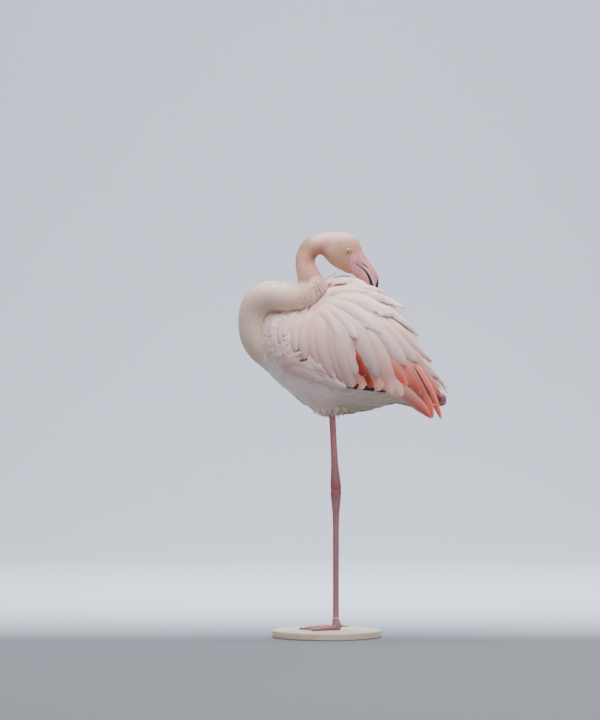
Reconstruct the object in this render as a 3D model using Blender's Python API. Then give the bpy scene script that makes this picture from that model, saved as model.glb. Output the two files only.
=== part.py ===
"""A greater flamingo at life size, resting on one leg with its bill tucked into its back.

The bird faces -X, its left side faces -Y and +Z is up. The origin is on the floor, below the standing leg.
Sizes are in millimetres above the sole of the standing foot, which RISE lifts onto a flat base.
"""

import math

import bmesh
import bpy
import numpy as np
from mathutils import Matrix, Vector

MM = 0.001
GAP = 0.3
CUT_GAP = 0.5
SHARP_ANGLE = 40
LEFT = -1
RIGHT = 1
BASE_THICKNESS = 16
BASE_RADIUS = 120
BASE_BEVEL = 3
BASE_X = -20
BASE_SIDES = 48
RISE = BASE_THICKNESS + GAP

# Body sections along X: x, top, bottom, half width.
TORSO = (
    (-184, 632, 612, 6),
    (-175, 654, 597, 20),
    (-160, 678, 580, 36),
    (-144, 690, 563, 53),
    (-118, 698, 539, 76),
    (-79, 705, 509, 94),
    (-50, 713, 488, 98),
    (-24, 734, 474, 98.5),
    (31, 755, 476.5, 96.5),
    (79, 744, 485, 87),
    (123, 709, 499, 68),
    (154, 667, 496, 47),
    (182, 598, 488, 26),
    (204, 534, 494, 6),
)
# The outer face of the folded wings and back feathers, in the same form.
PLUMAGE = (
    (-166, 684, 590, 34),
    (-148, 708, 572, 62),
    (-112, 713, 534, 90),
    (-68, 735, 500, 106),
    (-22, 777, 473, 113),
    (18, 789, 470, 113),
    (53, 780, 477, 110),
    (88, 763, 487, 101),
    (123, 738, 496, 88),
    (152, 703, 499, 70),
    (180, 646, 495, 50),
    (211, 586, 484, 32),
    (246, 524, 472, 14),
)
SHOULDER_FULLNESS = 0.92
BELLY_FULLNESS = 1.1
KEEL_FULLNESS = 1.3
TORSO_RINGS = 16
TORSO_SIDES = 18
# Moves the rings of the torso towards its middle, as a share of its length.
RING_SHIFT = 0.05

# Neck centre line from the chest to the round end of the fold, and on to the nape: x, y, z, radius.
NECK_LOWER = (
    (-120, 0, 590, 40),
    (-140, 0, 603, 34),
    (-159, -1, 623, 37.5),
    (-174, -3, 648, 37.5),
    (-181, -8, 678, 34.5),
    (-179, -14, 704, 33.5),
    (-168, -22, 723, 34.5),
    (-150, -31, 733, 34.5),
    (-130, -38, 734, 34),
    (-106, -43, 731, 31.5),
    (-83, -46, 731, 30),
    (-62, -46, 741, 30.5),
    (-50, -45, 750, 29),
)
NECK_UPPER = (
    (-54, -44, 757, 25),
    (-61, -42, 782, 25.6),
    (-68, -39, 804, 21.4),
    (-66, -35, 822, 21.8),
    (-56, -31, 840.3, 21.4),
    (-36, -27, 849, 22),
    (-18, -24.5, 849.6, 22.4),
)
NECK_SPLIT = 5
NECK_STEPS = 2
NECK_SIDES = 14

# Head sections from the nape to the bill: crown point x, z, throat point x, z, half width, y.
HEAD = (
    (-30, 871.4, -30, 827, 22, -25.9),
    (-18, 873.5, -20, 815.5, 23, -24),
    (4, 874.5, -7, 803, 26, -22),
    (24, 872, 9, 794, 26.5, -20),
    (45, 860.5, 22, 787.5, 23, -18),
    (57.5, 837, 35, 783.5, 18, -16.5),
)
BILL = (
    (58.5, 835.5, 35.6, 783.2, 17.6, -16.4),
    (70.5, 816, 47, 774, 16.5, -15.2),
    (82.5, 800, 57, 762, 15.5, -14),
    (90.5, 783, 67, 747.5, 13.5, -12.6),
    (93.5, 767.5, 74, 736, 11.5, -11.2),
    (92.5, 752, 79, 727, 9, -9.8),
    (88, 737, 81, 721.5, 6, -8.6),
    (84, 726.5, 81.5, 722, 2.5, -8),
)
# Where the mandibles meet: x, z from the gape to the tip.
MOUTH = (
    (30, 811),
    (44, 806.3),
    (55, 799.7),
    (65, 792),
    (72.6, 782),
    (78, 771),
    (81.4, 759),
    (83, 748),
    (84.2, 735),
    (83.6, 718),
)
HEAD_SIDES = 16
BILL_SIDES = 12
# How far a block that splits the bill reaches past the mouth, and its two sides.
MOUTH_BLOCK = 90
MOUTH_BLOCK_Y = (-60, 40)
# The space behind the nape that belongs to the head.
HEAD_ROOM_LOW = (-30.3, -80, 800)
HEAD_ROOM_HIGH = (60, 40, 900)

EYE_RADIUS = 7.5
EYE_X = 27.5
EYE_Z = 834
EYE_HALF_WIDTH = 25.5
EYE_DEPTH = 4.2
LID = 1.3
LID_OPENING = (6.6, 4.4)
LID_OPENING_START = 0.5
LID_POINTS = 12
LID_TILT = 18
NOSTRIL_START = (57, 807)
NOSTRIL_END = (70.5, 797)
NOSTRIL_Y = (-30, -1)
NOSTRIL_DEPTH = 3.2
# The nostril's half height along its length.
NOSTRIL_ROWS = ((0, 0.46), (0.2, 1.0), (0.5, 1.3), (0.8, 1.0), (1, 0.46))

LEG_SIDES = 12
LEG_SQUASH = 0.85
TARSUS_RADIUS = 6.4
SHANK_RADIUS = 6.9
ANKLE = (0, -4, 309)
ANKLE_RADIUS = 11.4
SHANK_TOP = (-9, -14, 500)
# A leg bone's swelling by its distance from the joint, as a share of the joint's extra radius.
JOINT_SWELL = ((0, 0.86), (6, 1.0), (14, 0.94), (24, 0.72), (36, 0.5), (52, 0.22), (75, 0.06), (100, 0.0))
SWELL_REACH = 0.8

# The joint above the toes: x, y, z, radius.
TOE_KNOB = ((1, 0, 1, 9.5), (1.5, 0, 7, 10.5), (1, 0, 14, 9.5), (0, 0, 20, 7.8), (0, 0, 25, 7.0))
KNOB_SQUASH = 0.95
TOE_BASE = (4, 0, 0)
TOE_ANGLES = (-40, 0, 40)
TOE_LENGTHS = (78, 88, 78)
TOE_RADIUS = 6
TOE_PADS = (1.0, 0.86, 1.02, 0.82, 0.92, 0.64)
TOE_TAPER = 0.22
TOE_SIDES = 8
SOLE_SINK = 0.92
HALLUX_BASE = (6, 0, 6)
HALLUX_ANGLE = 172
HALLUX_LENGTH = 15
HALLUX_RADIUS = 3.3
CLAW_LENGTH = 9
CLAW_TIP_Z = 1.2
WEB_LIFT = 0.6
WEB_THICKNESS = 2.2
WEB_REACH = 0.82
WEB_HOLLOW = 0.88
WEB_STEPS = 6
BELOW_FLOOR_LOW = (-150, -150, -40)
BELOW_FLOOR_HIGH = (80, 150, 0)

TUCKED_ANKLE = (235, 34, 505)
TUCKED_TOE_JOINT = (-48, 78, 522)
TUCKED_SHANK_ROOT = (92, 48, 532)
TUCKED_SPREAD = (0, 5.4, -2)
TUCKED_TARSUS_RADIUS = 9.5
TUCKED_SHANK_RADIUS = 10
# What rounds the ends of the two bones at the tucked ankle: x, z, radius.
TUCKED_TARSUS_END = (7, 0.5, 5.5)
TUCKED_SHANK_END = (8, -0.5, 6)
FOLDED_START = (-52, 76, 520.5)
FOLDED_DIRECTION = (0.93, -0.16, -0.31)
FOLDED_LENGTHS = (66, 78, 66)
FOLDED_PADS = (1.0, 0.86, 0.96, 0.78, 0.34)
FOLDED_SPREAD = (0, 7, 3)
FOLDED_SIDES = 7
# The joint above the closed toes: distance along them, radius.
FOLDED_KNOB = ((-9, 5), (0, 8.5), (10, 7.5))
FOLDED_KNOB_SIDES = 10

VANE_STEPS = (0.0, 0.38, 0.74, 0.93)
VANE_WIDTHS = (0.62, 0.98, 0.94, 0.52)
VANE_CROWN = 0.09
# How much the vanes of a tier differ in width and in lift.
VANE_VARIETY = 0.07
VANE_STAGGER = 0.5
THIN_VANE = ((1.6, 0.8), (1.6, 0.8), (1.5, 0.8), (1.2, 0.7))
FLIGHT_VANE = ((5, 4), (4, 3), (2.2, 1.2), (1.5, 0.8))
CORE_LIFT = -3.5
CORE_EDGE_LIFT = -7
CORE_INSIDE = -42
CORE_GRID = (11, 6)
CORE_X = (-146, 198)
# The core's upper edge in degrees down from the top: least, more at the wrist, more at the rump.
CORE_TOP = (13, 10, 14)
# Its lower edge: at the ends, and how much lower it sags, with the sag's start and rate along it.
CORE_BOTTOM = (96, 20)
CORE_SAG = (0.12, 1.15)
ROOT_SINK = 6

# Depth of a vane's middle and edges at each station, where it lies on the wing's pad and where it ends free.
LAID_VANE = ((13, 12), (11, 10), (4, 3), (1.6, 0.8))
LONG_VANE = ((13, 12), (8, 7), (2, 1), (1.5, 0.8))
# Feather tiers of a folded wing. Roots and tips run along curves of three x, z points.
TIERS = {
    "tertials": dict(
        count=7,
        roots=((-40, 612), (25, 622), (92, 640)),
        tips=((26, 547), (122, 548), (233, 464)),
        width=31,
        lift=(-5, 1.5),
        roll=5,
        depths=LONG_VANE,
    ),
    "long_tertials": dict(
        count=4,
        roots=((92, 636), (104, 658), (108, 690)),
        tips=((226, 478), (240, 500), (246, 526)),
        width=29,
        lift=(-4, 1),
        roll=5,
        depths=LONG_VANE,
    ),
    "greater_coverts": dict(
        count=6,
        roots=((-98, 648), (-38, 700), (36, 696)),
        tips=((-62, 560), (36, 500), (160, 586)),
        width=34,
        lift=(-5, 3),
        roll=6,
        depths=LAID_VANE,
    ),
    "median_coverts": dict(
        count=5,
        roots=((-112, 646), (-84, 676), (-30, 706)),
        tips=((-92, 588), (-34, 590), (20, 640)),
        width=28,
        lift=(-5, 4),
        roll=5,
        depths=LAID_VANE,
    ),
    "lesser_coverts": dict(
        count=4,
        roots=((-140, 640), (-122, 674), (-84, 698)),
        tips=((-128, 598), (-94, 616), (-46, 670)),
        width=21,
        lift=(-6, 4.5),
        roll=4,
        depths=LAID_VANE,
    ),
    "mantle": dict(
        count=4,
        roots=((-96, 698), (-74, 702), (-44, 716)),
        tips=((-16, 768), (22, 780), (64, 766)),
        width=28,
        lift=(-5, 3.5),
        roll=-6,
        depths=LAID_VANE,
    ),
    "scapulars": dict(
        count=6,
        roots=((-50, 728), (-24, 734), (30, 706)),
        tips=((106, 748), (174, 672), (240, 536)),
        width=28,
        lift=(-5, 4.5),
        roll=-7,
        depths=LONG_VANE,
    ),
}
PRIMARY_COUNT = 3
PRIMARY_ROOTS = ((-8, 539), (10, 530))
PRIMARY_TIPS = ((132, 521), (206, 498))
PRIMARY_LIFT = -3.4
PRIMARY_STEP = 0.5
PRIMARY_DIP = 7
PRIMARY_WIDTH = 19
TAIL_COUNT = 7
TAIL_ROOT = (176, 528)
TAIL_TIP = (224, 502)
TAIL_HALF_WIDTH = 24
TAIL_NARROW = 0.3
TAIL_ROUND = 5
TAIL_STAGGER = 0.9
TAIL_VANE_WIDTH = 15
TAIL_FACING = (0.35, 0.25, 0.9)
# The pad that carries the tail: x, y, z, radius.
TAIL_PAD = ((168, 0, 527, 8), (178, 0, 526, 9.5), (190, 0, 520, 7), (199, 0, 515, 3))
TAIL_PAD_SQUASH = 1.4
TUFT_COUNT = 8
TUFT_LENGTH = 15
TUFT_WIDTH = 9
TUFT_FLARE = 0.45
TUFT_CENTRE = (-11, -13, 478)
TUFT_RING = (14, 11.2)
# The room that belongs to the other wing: how far it reaches sideways, along X and along Z.
OTHER_SIDE = 200
OTHER_SIDE_X = (-300, 300)
OTHER_SIDE_Z = (300, 900)

COLOURS = {
    "white": (0.86, 0.74, 0.70, 0.8),
    "blush": (0.86, 0.62, 0.55, 0.8),
    "salmon": (0.85, 0.36, 0.28, 0.7),
    "black": (0.03, 0.025, 0.03, 0.55),
    "bill": (0.85, 0.45, 0.50, 0.4),
    "leg": (0.62, 0.26, 0.31, 0.5),
    "eye": (0.85, 0.62, 0.22, 0.1),
    "base": (0.55, 0.5, 0.44, 0.6),
}


def clear_scene():
    """Remove whatever the scene holds."""
    for obj in list(bpy.data.objects):
        bpy.data.objects.remove(obj)


def material(name, finish):
    """A node's own material, in a plain finish."""
    made = bpy.data.materials.new(name)
    made.use_nodes = True
    shader = made.node_tree.nodes["Principled BSDF"]
    red, green, blue, roughness = COLOURS[finish]
    shader.inputs["Base Color"].default_value = (red, green, blue, 1)
    shader.inputs["Roughness"].default_value = roughness
    shader.inputs["Metallic"].default_value = 0
    return made


def smooth_rows(rows, per_span):
    """Rows of numbers joined by a smooth curve through each, with per_span steps between two."""
    rows = np.array(rows, float)
    padded = np.vstack([2 * rows[0] - rows[1], rows, 2 * rows[-1] - rows[-2]])
    made = []
    for i in range(1, len(padded) - 2):
        before, start, end, after = padded[i - 1 : i + 3]
        for t in np.arange(per_span) / per_span:
            bend = 2 * before - 5 * start + 4 * end - after
            turn = 3 * start - before - 3 * end + after
            made.append(start + 0.5 * ((end - before) * t + bend * t * t + turn * t**3))
    made.append(rows[-1])
    return np.array(made)


def quadratic(three, t):
    """The point at t, from 0 to 1, on the curve that three control points give."""
    a, b, c = (np.array(p, float) for p in three)
    return a * (1 - t) ** 2 + 2 * b * t * (1 - t) + c * t * t


def unit(vector):
    """The vector at length 1."""
    return vector / np.linalg.norm(vector)


def mesh_object(name, points, faces):
    """An object from points in millimetres above the sole, with its faces turned outwards."""
    mesh = bpy.data.meshes.new(name)
    raised = (np.array(points, float) + (0, 0, RISE)) * MM
    mesh.from_pydata([tuple(p) for p in raised], [], faces)
    work = bmesh.new()
    work.from_mesh(mesh)
    bmesh.ops.recalc_face_normals(work, faces=work.faces)
    if work.calc_volume(signed=True) < 0:
        bmesh.ops.reverse_faces(work, faces=work.faces)
    work.to_mesh(mesh)
    work.free()
    obj = bpy.data.objects.new(name, mesh)
    bpy.context.scene.collection.objects.link(obj)
    return obj


def block(name, low, high):
    """A box between two corners."""
    outline = [(low[0], low[1]), (high[0], low[1]), (high[0], high[1]), (low[0], high[1])]
    points = [np.array([x, y, z]) for z in (low[2], high[2]) for x, y in outline]
    return mesh_object(name, points, ring_faces(2, 4) + [(0, 1, 2, 3), (4, 5, 6, 7)])


def ring_faces(ring_count, sides, alike=0):
    """Triangles between rings. The last `alike` sides of a ring are split to match the first ones."""
    faces = []
    for ring in range(ring_count - 1):
        low, high = ring * sides, (ring + 1) * sides
        for side in range(sides):
            after = (side + 1) % sides
            a, b, c, d = low + side, low + after, high + after, high + side
            if side >= sides - alike:
                faces += [(a, b, d), (b, c, d)]
            else:
                faces += [(a, b, c), (a, c, d)]
    return faces


def loft(name, rings, poles=(None, None)):
    """A closed object through rings of points. Each end is a flat cap, or a cone to the point in poles."""
    sides = len(rings[0])
    points = [p for ring in rings for p in ring]
    faces = ring_faces(len(rings), sides)
    for start, pole in zip((0, (len(rings) - 1) * sides), poles):
        edge = range(start, start + sides)
        centre = np.mean([points[i] for i in edge], axis=0) if pole is None else np.array(pole, float)
        points.append(centre)
        hub = len(points) - 1
        faces += [(hub, start + i, start + (i + 1) % sides) for i in range(sides)]
    return mesh_object(name, points, faces)


def tube_rings(stations, sides, squash=1.0):
    """Rings across a path whose rows are x, y, z, radius. Squash narrows them along Y."""
    stations = np.array(stations, float)
    centres, radii = stations[:, :3], stations[:, 3]
    tangents = np.gradient(centres, axis=0)
    rings = []
    for centre, tangent, radius in zip(centres, tangents, radii):
        tangent = unit(tangent)
        across = np.array([0.0, 1.0, 0.0])
        if abs(tangent[1]) > 0.9:
            across = np.array([0.0, 0.0, 1.0])
        across = unit(across - tangent * (across @ tangent))
        upward = np.cross(tangent, across)
        angles = np.arange(sides) * 2 * math.pi / sides
        rings.append(
            [centre + radius * (squash * math.cos(a) * across + math.sin(a) * upward) for a in angles]
        )
    return rings


class Body:
    """A smooth body given by sections along X. Its points are found by x and the angle down from the top."""

    def __init__(self, sections, belly=BELLY_FULLNESS):
        self.table = smooth_rows(sections, 10)
        self.belly = belly

    def section(self, x):
        """Middle height, half height and half width at x."""
        top, bottom, width = (np.interp(x, self.table[:, 0], self.table[:, i]) for i in (1, 2, 3))
        return (top + bottom) / 2, (top - bottom) / 2, width

    def flat_point(self, x, angle, side):
        """The point on the surface, with no lift."""
        middle, height, width = self.section(x)
        fullness = SHOULDER_FULLNESS if math.cos(angle) > 0 else self.belly
        across = abs(math.sin(angle)) ** fullness
        return np.array([x, side * width * across, middle + height * math.cos(angle)])

    def normal(self, x, angle, side):
        """The outward direction there."""
        along = self.flat_point(x + 2, angle, side) - self.flat_point(x - 2, angle, side)
        around = self.flat_point(x, angle + 0.03, side) - self.flat_point(x, angle - 0.03, side)
        outward = unit(np.cross(along, around))
        reference = self.flat_point(x, angle, side) - np.array([x, 0, self.section(x)[0]])
        return outward if outward @ reference > 0 else -outward

    def point(self, x, angle, side, lift=0.0):
        """The point on the surface, raised by lift."""
        return self.flat_point(x, angle, side) + lift * self.normal(x, angle, side)

    def angle_at(self, x, z):
        """The angle down from the top at which the surface passes height z."""
        middle, height, _ = self.section(x)
        return math.acos(max(-0.97, min(0.97, (z - middle) / height)))


def body_loft(name, body, ring_count, sides):
    """The whole body as one closed object."""
    first, last = body.table[0, 0], body.table[-1, 0]
    rings = []
    for i in range(ring_count):
        share = i / (ring_count - 1)
        x = first + (last - first) * (share + RING_SHIFT * math.sin(2 * math.pi * share))
        angles = [2 * math.pi * k / sides for k in range(sides)]
        rings.append([body.flat_point(x, a, LEFT if math.sin(a) < 0 else RIGHT) for a in angles])
    return loft(name, rings)


def grown(obj, distance=CUT_GAP):
    """A copy of a smooth object, larger all over by distance, to cut its neighbours clear of it."""
    mesh = obj.data.copy()
    normals = [v.normal.copy() for v in mesh.vertices]
    for vertex, normal in zip(mesh.vertices, normals):
        vertex.co += normal * distance * MM
    copy = bpy.data.objects.new(obj.name + "_room", mesh)
    bpy.context.scene.collection.objects.link(copy)
    return copy


def keep_largest(mesh):
    """Drop all but the largest closed surface of a mesh."""
    work = bmesh.new()
    work.from_mesh(mesh)
    bmesh.ops.triangulate(work, faces=work.faces)
    unseen = set(work.verts)
    shells = []
    while unseen:
        reached = {unseen.pop()}
        edge = list(reached)
        while edge:
            vertex = edge.pop()
            for link in vertex.link_edges:
                other = link.other_vert(vertex)
                if other in unseen:
                    unseen.discard(other)
                    reached.add(other)
                    edge.append(other)
        faces = {f for v in reached for f in v.link_faces}
        volume = sum(f.verts[0].co.dot(f.verts[1].co.cross(f.verts[2].co)) for f in faces)
        shells.append((volume, reached))
    shells.sort(key=lambda shell: -shell[0])
    for _, vertices in shells[1:]:
        bmesh.ops.delete(work, geom=list(vertices), context="VERTS")
    work.to_mesh(mesh)
    work.free()


def combine(base, others, operation):
    """Union others with base, or cut them from it, by one Boolean on a collection, and remove them.

    The exact solver leaves open edges where the many vanes of a wing, the tail and the toes cross.
    """
    group = bpy.data.collections.new(base.name + "_pieces")
    bpy.context.scene.collection.children.link(group)
    for obj in others:
        bpy.context.scene.collection.objects.unlink(obj)
        group.objects.link(obj)
    modifier = base.modifiers.new("join", "BOOLEAN")
    modifier.operation = operation
    modifier.operand_type = "COLLECTION"
    modifier.collection = group
    modifier.solver = "MANIFOLD"
    graph = bpy.context.evaluated_depsgraph_get()
    graph.update()
    mesh = bpy.data.meshes.new_from_object(base.evaluated_get(graph))
    base.modifiers.clear()
    base.data = mesh
    for obj in others:
        bpy.data.objects.remove(obj)
    bpy.data.collections.remove(group)


def fuse(pieces, rooms=()):
    """One closed object from pieces that overlap, cut clear of the rooms that its neighbours take."""
    base, others = pieces[0], pieces[1:]
    if others:
        combine(base, others, "UNION")
    if rooms:
        combine(base, list(rooms), "DIFFERENCE")
    keep_largest(base.data)
    return base


def finish_node(obj, name, finish):
    """Name a node, give it its finish and shade it."""
    obj.name = name
    obj.data.name = name
    obj.data.materials.clear()
    obj.data.materials.append(material(name, finish))
    obj.data.shade_smooth()
    obj.data.set_sharp_from_angle(angle=math.radians(SHARP_ANGLE))
    return obj


def vane(name, centres, normals, width, depths, roll=0.0, extra=0.0):
    """A feather that ends in a point, its crowned face along the centres. Extra makes it larger all over."""
    tangents = np.gradient(np.array(centres), axis=0)
    rings = []
    for i, share in enumerate(VANE_WIDTHS):
        forward = unit(tangents[i])
        outward = unit(normals[i] - forward * (normals[i] @ forward))
        across = np.cross(forward, outward)
        turned = math.cos(roll) * across + math.sin(roll) * outward
        outward = np.cross(turned, forward)
        half = width * share / 2 + extra
        crown = VANE_CROWN * width * share
        top = centres[i] + extra * outward
        left = top - half * turned - crown * outward
        right = top + half * turned - crown * outward
        middle_depth, edge_depth = (depth + 2 * extra for depth in depths[i])
        rings += [left, top, right]
        rings += [right - edge_depth * outward, top - middle_depth * outward, left - edge_depth * outward]
    tip = centres[-1] + extra * unit(tangents[-1])
    faces = ring_faces(len(VANE_WIDTHS), 6, alike=3)
    faces += [(0, 1, 4), (0, 4, 5), (1, 2, 3), (1, 3, 4)]
    last = 6 * (len(VANE_WIDTHS) - 1)
    faces += [(last + k, last + (k + 1) % 6, len(rings)) for k in range(6)]
    return mesh_object(name, rings + [tip], faces)


def surface_vane(name, body, side, root, tip, width, depths, lift, roll=0.0, extra=0.0):
    """A feather that lies over a body from root to tip, both x, z, rising from lift[0] to lift[1]."""
    steps = list(VANE_STEPS) + [1.0]
    start, end = body.angle_at(*root), body.angle_at(*tip)
    centres, normals = [], []
    for t in steps:
        x = root[0] + (tip[0] - root[0]) * t
        angle = start + (end - start) * t
        bend = math.sin(t * math.pi / 2) if lift[1] > lift[0] else t * t
        rise = lift[0] + (lift[1] - lift[0]) * bend
        if t == 0:
            rise -= ROOT_SINK
        centres.append(body.point(x, angle, side, rise))
        normals.append(body.normal(x, angle, side))
    return vane(name, centres, normals, width, depths, side * math.radians(roll), extra)


def wing_core(body, side):
    """The closed pad under a wing's feathers, from the wrist to the rump."""
    columns, rows = CORE_GRID
    outer, inner = [], []
    for i in range(columns):
        share = i / (columns - 1)
        x = CORE_X[0] + (CORE_X[1] - CORE_X[0]) * share
        top = math.radians(CORE_TOP[0] + CORE_TOP[1] * (1 - share) ** 3 + CORE_TOP[2] * share**2)
        sag = math.sin(math.pi * min(1, CORE_SAG[0] + CORE_SAG[1] * share))
        bottom = math.radians(CORE_BOTTOM[0] + CORE_BOTTOM[1] * sag)
        for k in range(rows):
            angle = top + (bottom - top) * k / (rows - 1)
            at_edge = i in (0, columns - 1) or k in (0, rows - 1)
            outer.append(body.point(x, angle, side, CORE_EDGE_LIFT if at_edge else CORE_LIFT))
            inner.append(body.point(x, angle, side, CORE_INSIDE))
    count = len(outer)
    faces = []
    for i in range(columns - 1):
        for k in range(rows - 1):
            a, b = i * rows + k, (i + 1) * rows + k
            faces += [(a, b, b + 1, a + 1), (count + a, count + a + 1, count + b + 1, count + b)]
    border = [i * rows for i in range(columns)]
    border += [(columns - 1) * rows + k for k in range(1, rows)]
    border += [i * rows + rows - 1 for i in range(columns - 2, -1, -1)]
    border += list(range(rows - 2, 0, -1))
    for a, b in zip(border, border[1:] + border[:1]):
        faces.append((a, b, count + b, count + a))
    return mesh_object("wing_core", outer + inner, faces)


def wing_vanes(body, side):
    """All feathers of a wing, tier by tier."""
    made = []
    for name, tier in TIERS.items():
        for i in range(tier["count"]):
            share = i / (tier["count"] - 1)
            made.append(
                surface_vane(
                    f"{name}_{i}",
                    body,
                    side,
                    quadratic(tier["roots"], share),
                    quadratic(tier["tips"], share),
                    tier["width"] * (1 + VANE_VARIETY * math.sin(5 * i)),
                    tier["depths"],
                    (tier["lift"][0], tier["lift"][1] + VANE_STAGGER * (i % 2)),
                    tier["roll"],
                )
            )
    return made


def primaries(body, side, extra=0.0):
    """The black flight feathers that show below a folded wing."""
    made = []
    for i in range(PRIMARY_COUNT):
        share = i / (PRIMARY_COUNT - 1)
        root = [a + (b - a) * share for a, b in zip(*PRIMARY_ROOTS)]
        tip = [a + (b - a) * share for a, b in zip(*PRIMARY_TIPS)]
        lift = PRIMARY_LIFT + PRIMARY_STEP * i
        lifts = (lift, lift - PRIMARY_DIP)
        name = f"primary_{i}"
        made.append(surface_vane(name, body, side, root, tip, PRIMARY_WIDTH, FLIGHT_VANE, lifts, 0, extra))
    return made


def tail_vanes(extra=0.0):
    """The short tail's feathers, fanned about the midline, and the pad that carries them."""
    made = []
    for i in range(TAIL_COUNT):
        share = 2 * i / (TAIL_COUNT - 1) - 1
        shorter = TAIL_ROUND * share * share
        centres, normals = [], []
        for t in list(VANE_STEPS) + [1.0]:
            x = TAIL_ROOT[0] + (TAIL_TIP[0] - shorter - TAIL_ROOT[0]) * t
            y = TAIL_HALF_WIDTH * share * (TAIL_NARROW + (1 - TAIL_NARROW) * t)
            z = TAIL_ROOT[1] + (TAIL_TIP[1] - TAIL_ROOT[1]) * t - shorter
            centres.append(np.array([x, y, z + TAIL_STAGGER * (i % 2)]))
            normals.append(np.array(TAIL_FACING) * (1, share, 1))
        made.append(vane(f"tail_{i}", centres, normals, TAIL_VANE_WIDTH, THIN_VANE, 0, extra))
    rows = [(x, y, z, radius + extra) for x, y, z, radius in TAIL_PAD]
    pad = loft("tail_pad", tube_rings(rows, LEG_SIDES, TAIL_PAD_SQUASH))
    return [pad] + made


def sphere(name, centre, radius):
    """A closed ball."""
    mesh = bpy.data.meshes.new(name)
    work = bmesh.new()
    bmesh.ops.create_uvsphere(work, u_segments=12, v_segments=8, radius=radius * MM)
    bmesh.ops.rotate(work, verts=work.verts, matrix=Matrix.Rotation(math.pi / 2, 3, "X"))
    bmesh.ops.translate(work, verts=work.verts, vec=(Vector(centre) + Vector((0, 0, RISE))) * MM)
    bmesh.ops.triangulate(work, faces=work.faces)
    work.to_mesh(mesh)
    work.free()
    obj = bpy.data.objects.new(name, mesh)
    bpy.context.scene.collection.objects.link(obj)
    return obj


def section_rings(sections, sides, per_span):
    """Rings for the head and bill, whose rows give an upper and a lower point, a half width and y."""
    rings = []
    for row in smooth_rows(sections, per_span):
        top = np.array([row[0], row[5], row[1]])
        bottom = np.array([row[2], row[5], row[3]])
        centre, upward = (top + bottom) / 2, (top - bottom) / 2
        angles = [2 * math.pi * k / sides for k in range(sides)]
        across = np.array([0, row[4], 0])
        rings.append([centre + math.cos(a) * upward + math.sin(a) * across for a in angles])
    return rings


def head_y(x):
    """Sideways place of the head's middle at x."""
    rows = np.array(HEAD)
    return float(np.interp(x, rows[:, 0], rows[:, 5]))


def eye_centre(side):
    """The middle of an eyeball, set into the side of the head."""
    return (EYE_X, head_y(EYE_X) + side * (EYE_HALF_WIDTH - EYE_DEPTH), EYE_Z)


def lid_opening(side):
    """The almond between the lids, as a prism that leads out of the eye."""
    x, y, z = eye_centre(side)
    tilt = math.radians(-LID_TILT)
    rings = []
    for reach in (LID_OPENING_START, EYE_RADIUS * 2):
        ring = []
        for k in range(LID_POINTS):
            angle = 2 * math.pi * k / LID_POINTS
            along, up = LID_OPENING[0] * math.cos(angle), LID_OPENING[1] * math.sin(angle)
            forward = along * math.cos(tilt) - up * math.sin(tilt)
            upward = along * math.sin(tilt) + up * math.cos(tilt)
            ring.append(np.array([x + forward, y + side * reach, z + upward]))
        rings.append(ring)
    return loft("lid_opening", rings)


def make_head():
    """The feathered head with lids around both eyes, and the eyes.

    The neck turns the head to face the rump, so its own right side is on the bird's left.
    """
    skull = loft("skull", section_rings(HEAD, HEAD_SIDES, 2))
    lids = [sphere("lid", eye_centre(side), EYE_RADIUS + LID) for side in (LEFT, RIGHT)]
    sockets = [sphere("socket", eye_centre(side), EYE_RADIUS + GAP) for side in (LEFT, RIGHT)]
    openings = [lid_opening(side) for side in (LEFT, RIGHT)]
    head = fuse([skull] + lids, sockets + openings)
    finish_node(head, "head", "blush")
    for side, name in ((LEFT, "eye_right"), (RIGHT, "eye_left")):
        finish_node(sphere(name, eye_centre(side), EYE_RADIUS), name, "eye")


def mouth_prism(shift):
    """Everything above the line of the mouth, to split the bill, with its lower face moved down by shift."""
    line = smooth_rows(MOUTH, 4)
    (start_x, start_z), (end_x, end_z) = line[0], line[-1]
    far = [(end_x + MOUTH_BLOCK, end_z), (start_x + MOUTH_BLOCK, start_z + MOUTH_BLOCK)]
    far.append((start_x, start_z + MOUTH_BLOCK))
    step = shift * math.sqrt(0.5)
    outline = [(x - step, z - step) for x, z in line] + far
    rings = [[np.array([x, y, z]) for x, z in outline] for y in MOUTH_BLOCK_Y]
    count = len(outline)
    points = rings[0] + rings[1]
    faces = ring_faces(2, count) + [tuple(range(count - 1, -1, -1)), tuple(range(count, 2 * count))]
    prism = mesh_object("mouth", points, faces)
    work = bmesh.new()
    work.from_mesh(prism.data)
    bmesh.ops.triangulate(work, faces=work.faces)
    work.to_mesh(prism.data)
    work.free()
    return prism


def nostril(y):
    """The long slit in one side of the upper mandible."""
    (x0, z0), (x1, z1) = NOSTRIL_START, NOSTRIL_END
    rows = [(x0 + (x1 - x0) * t, y, z0 + (z1 - z0) * t, radius) for t, radius in NOSTRIL_ROWS]
    return loft("nostril", tube_rings(rows, 8, NOSTRIL_DEPTH))


def make_bill():
    """The bent bill in two mandibles that meet along the mouth, and the room that both take."""
    whole = loft("bill", section_rings(BILL, BILL_SIDES, 2))
    lower = whole.copy()
    lower.data = whole.data.copy()
    bpy.context.scene.collection.objects.link(lower)
    combine(whole, [mouth_prism(0)], "INTERSECT")
    upper = fuse([whole], [nostril(y) for y in NOSTRIL_Y])
    lower = fuse([lower], [mouth_prism(CUT_GAP)])
    finish_node(upper, "bill_upper", "bill")
    finish_node(lower, "bill_lower", "bill")
    return loft("bill_room", section_rings(BILL, BILL_SIDES, 2))


def rounded_end(rings, centre, forward, radius):
    """Rings that round off the end of a tube, and the point that closes it."""
    added = []
    for angle in (25, 50, 72):
        swing = math.radians(angle)
        shift = centre + forward * radius * math.sin(swing)
        added.append([shift + (p - centre) * math.cos(swing) for p in rings[-1]])
    return added, centre + forward * radius


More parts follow.
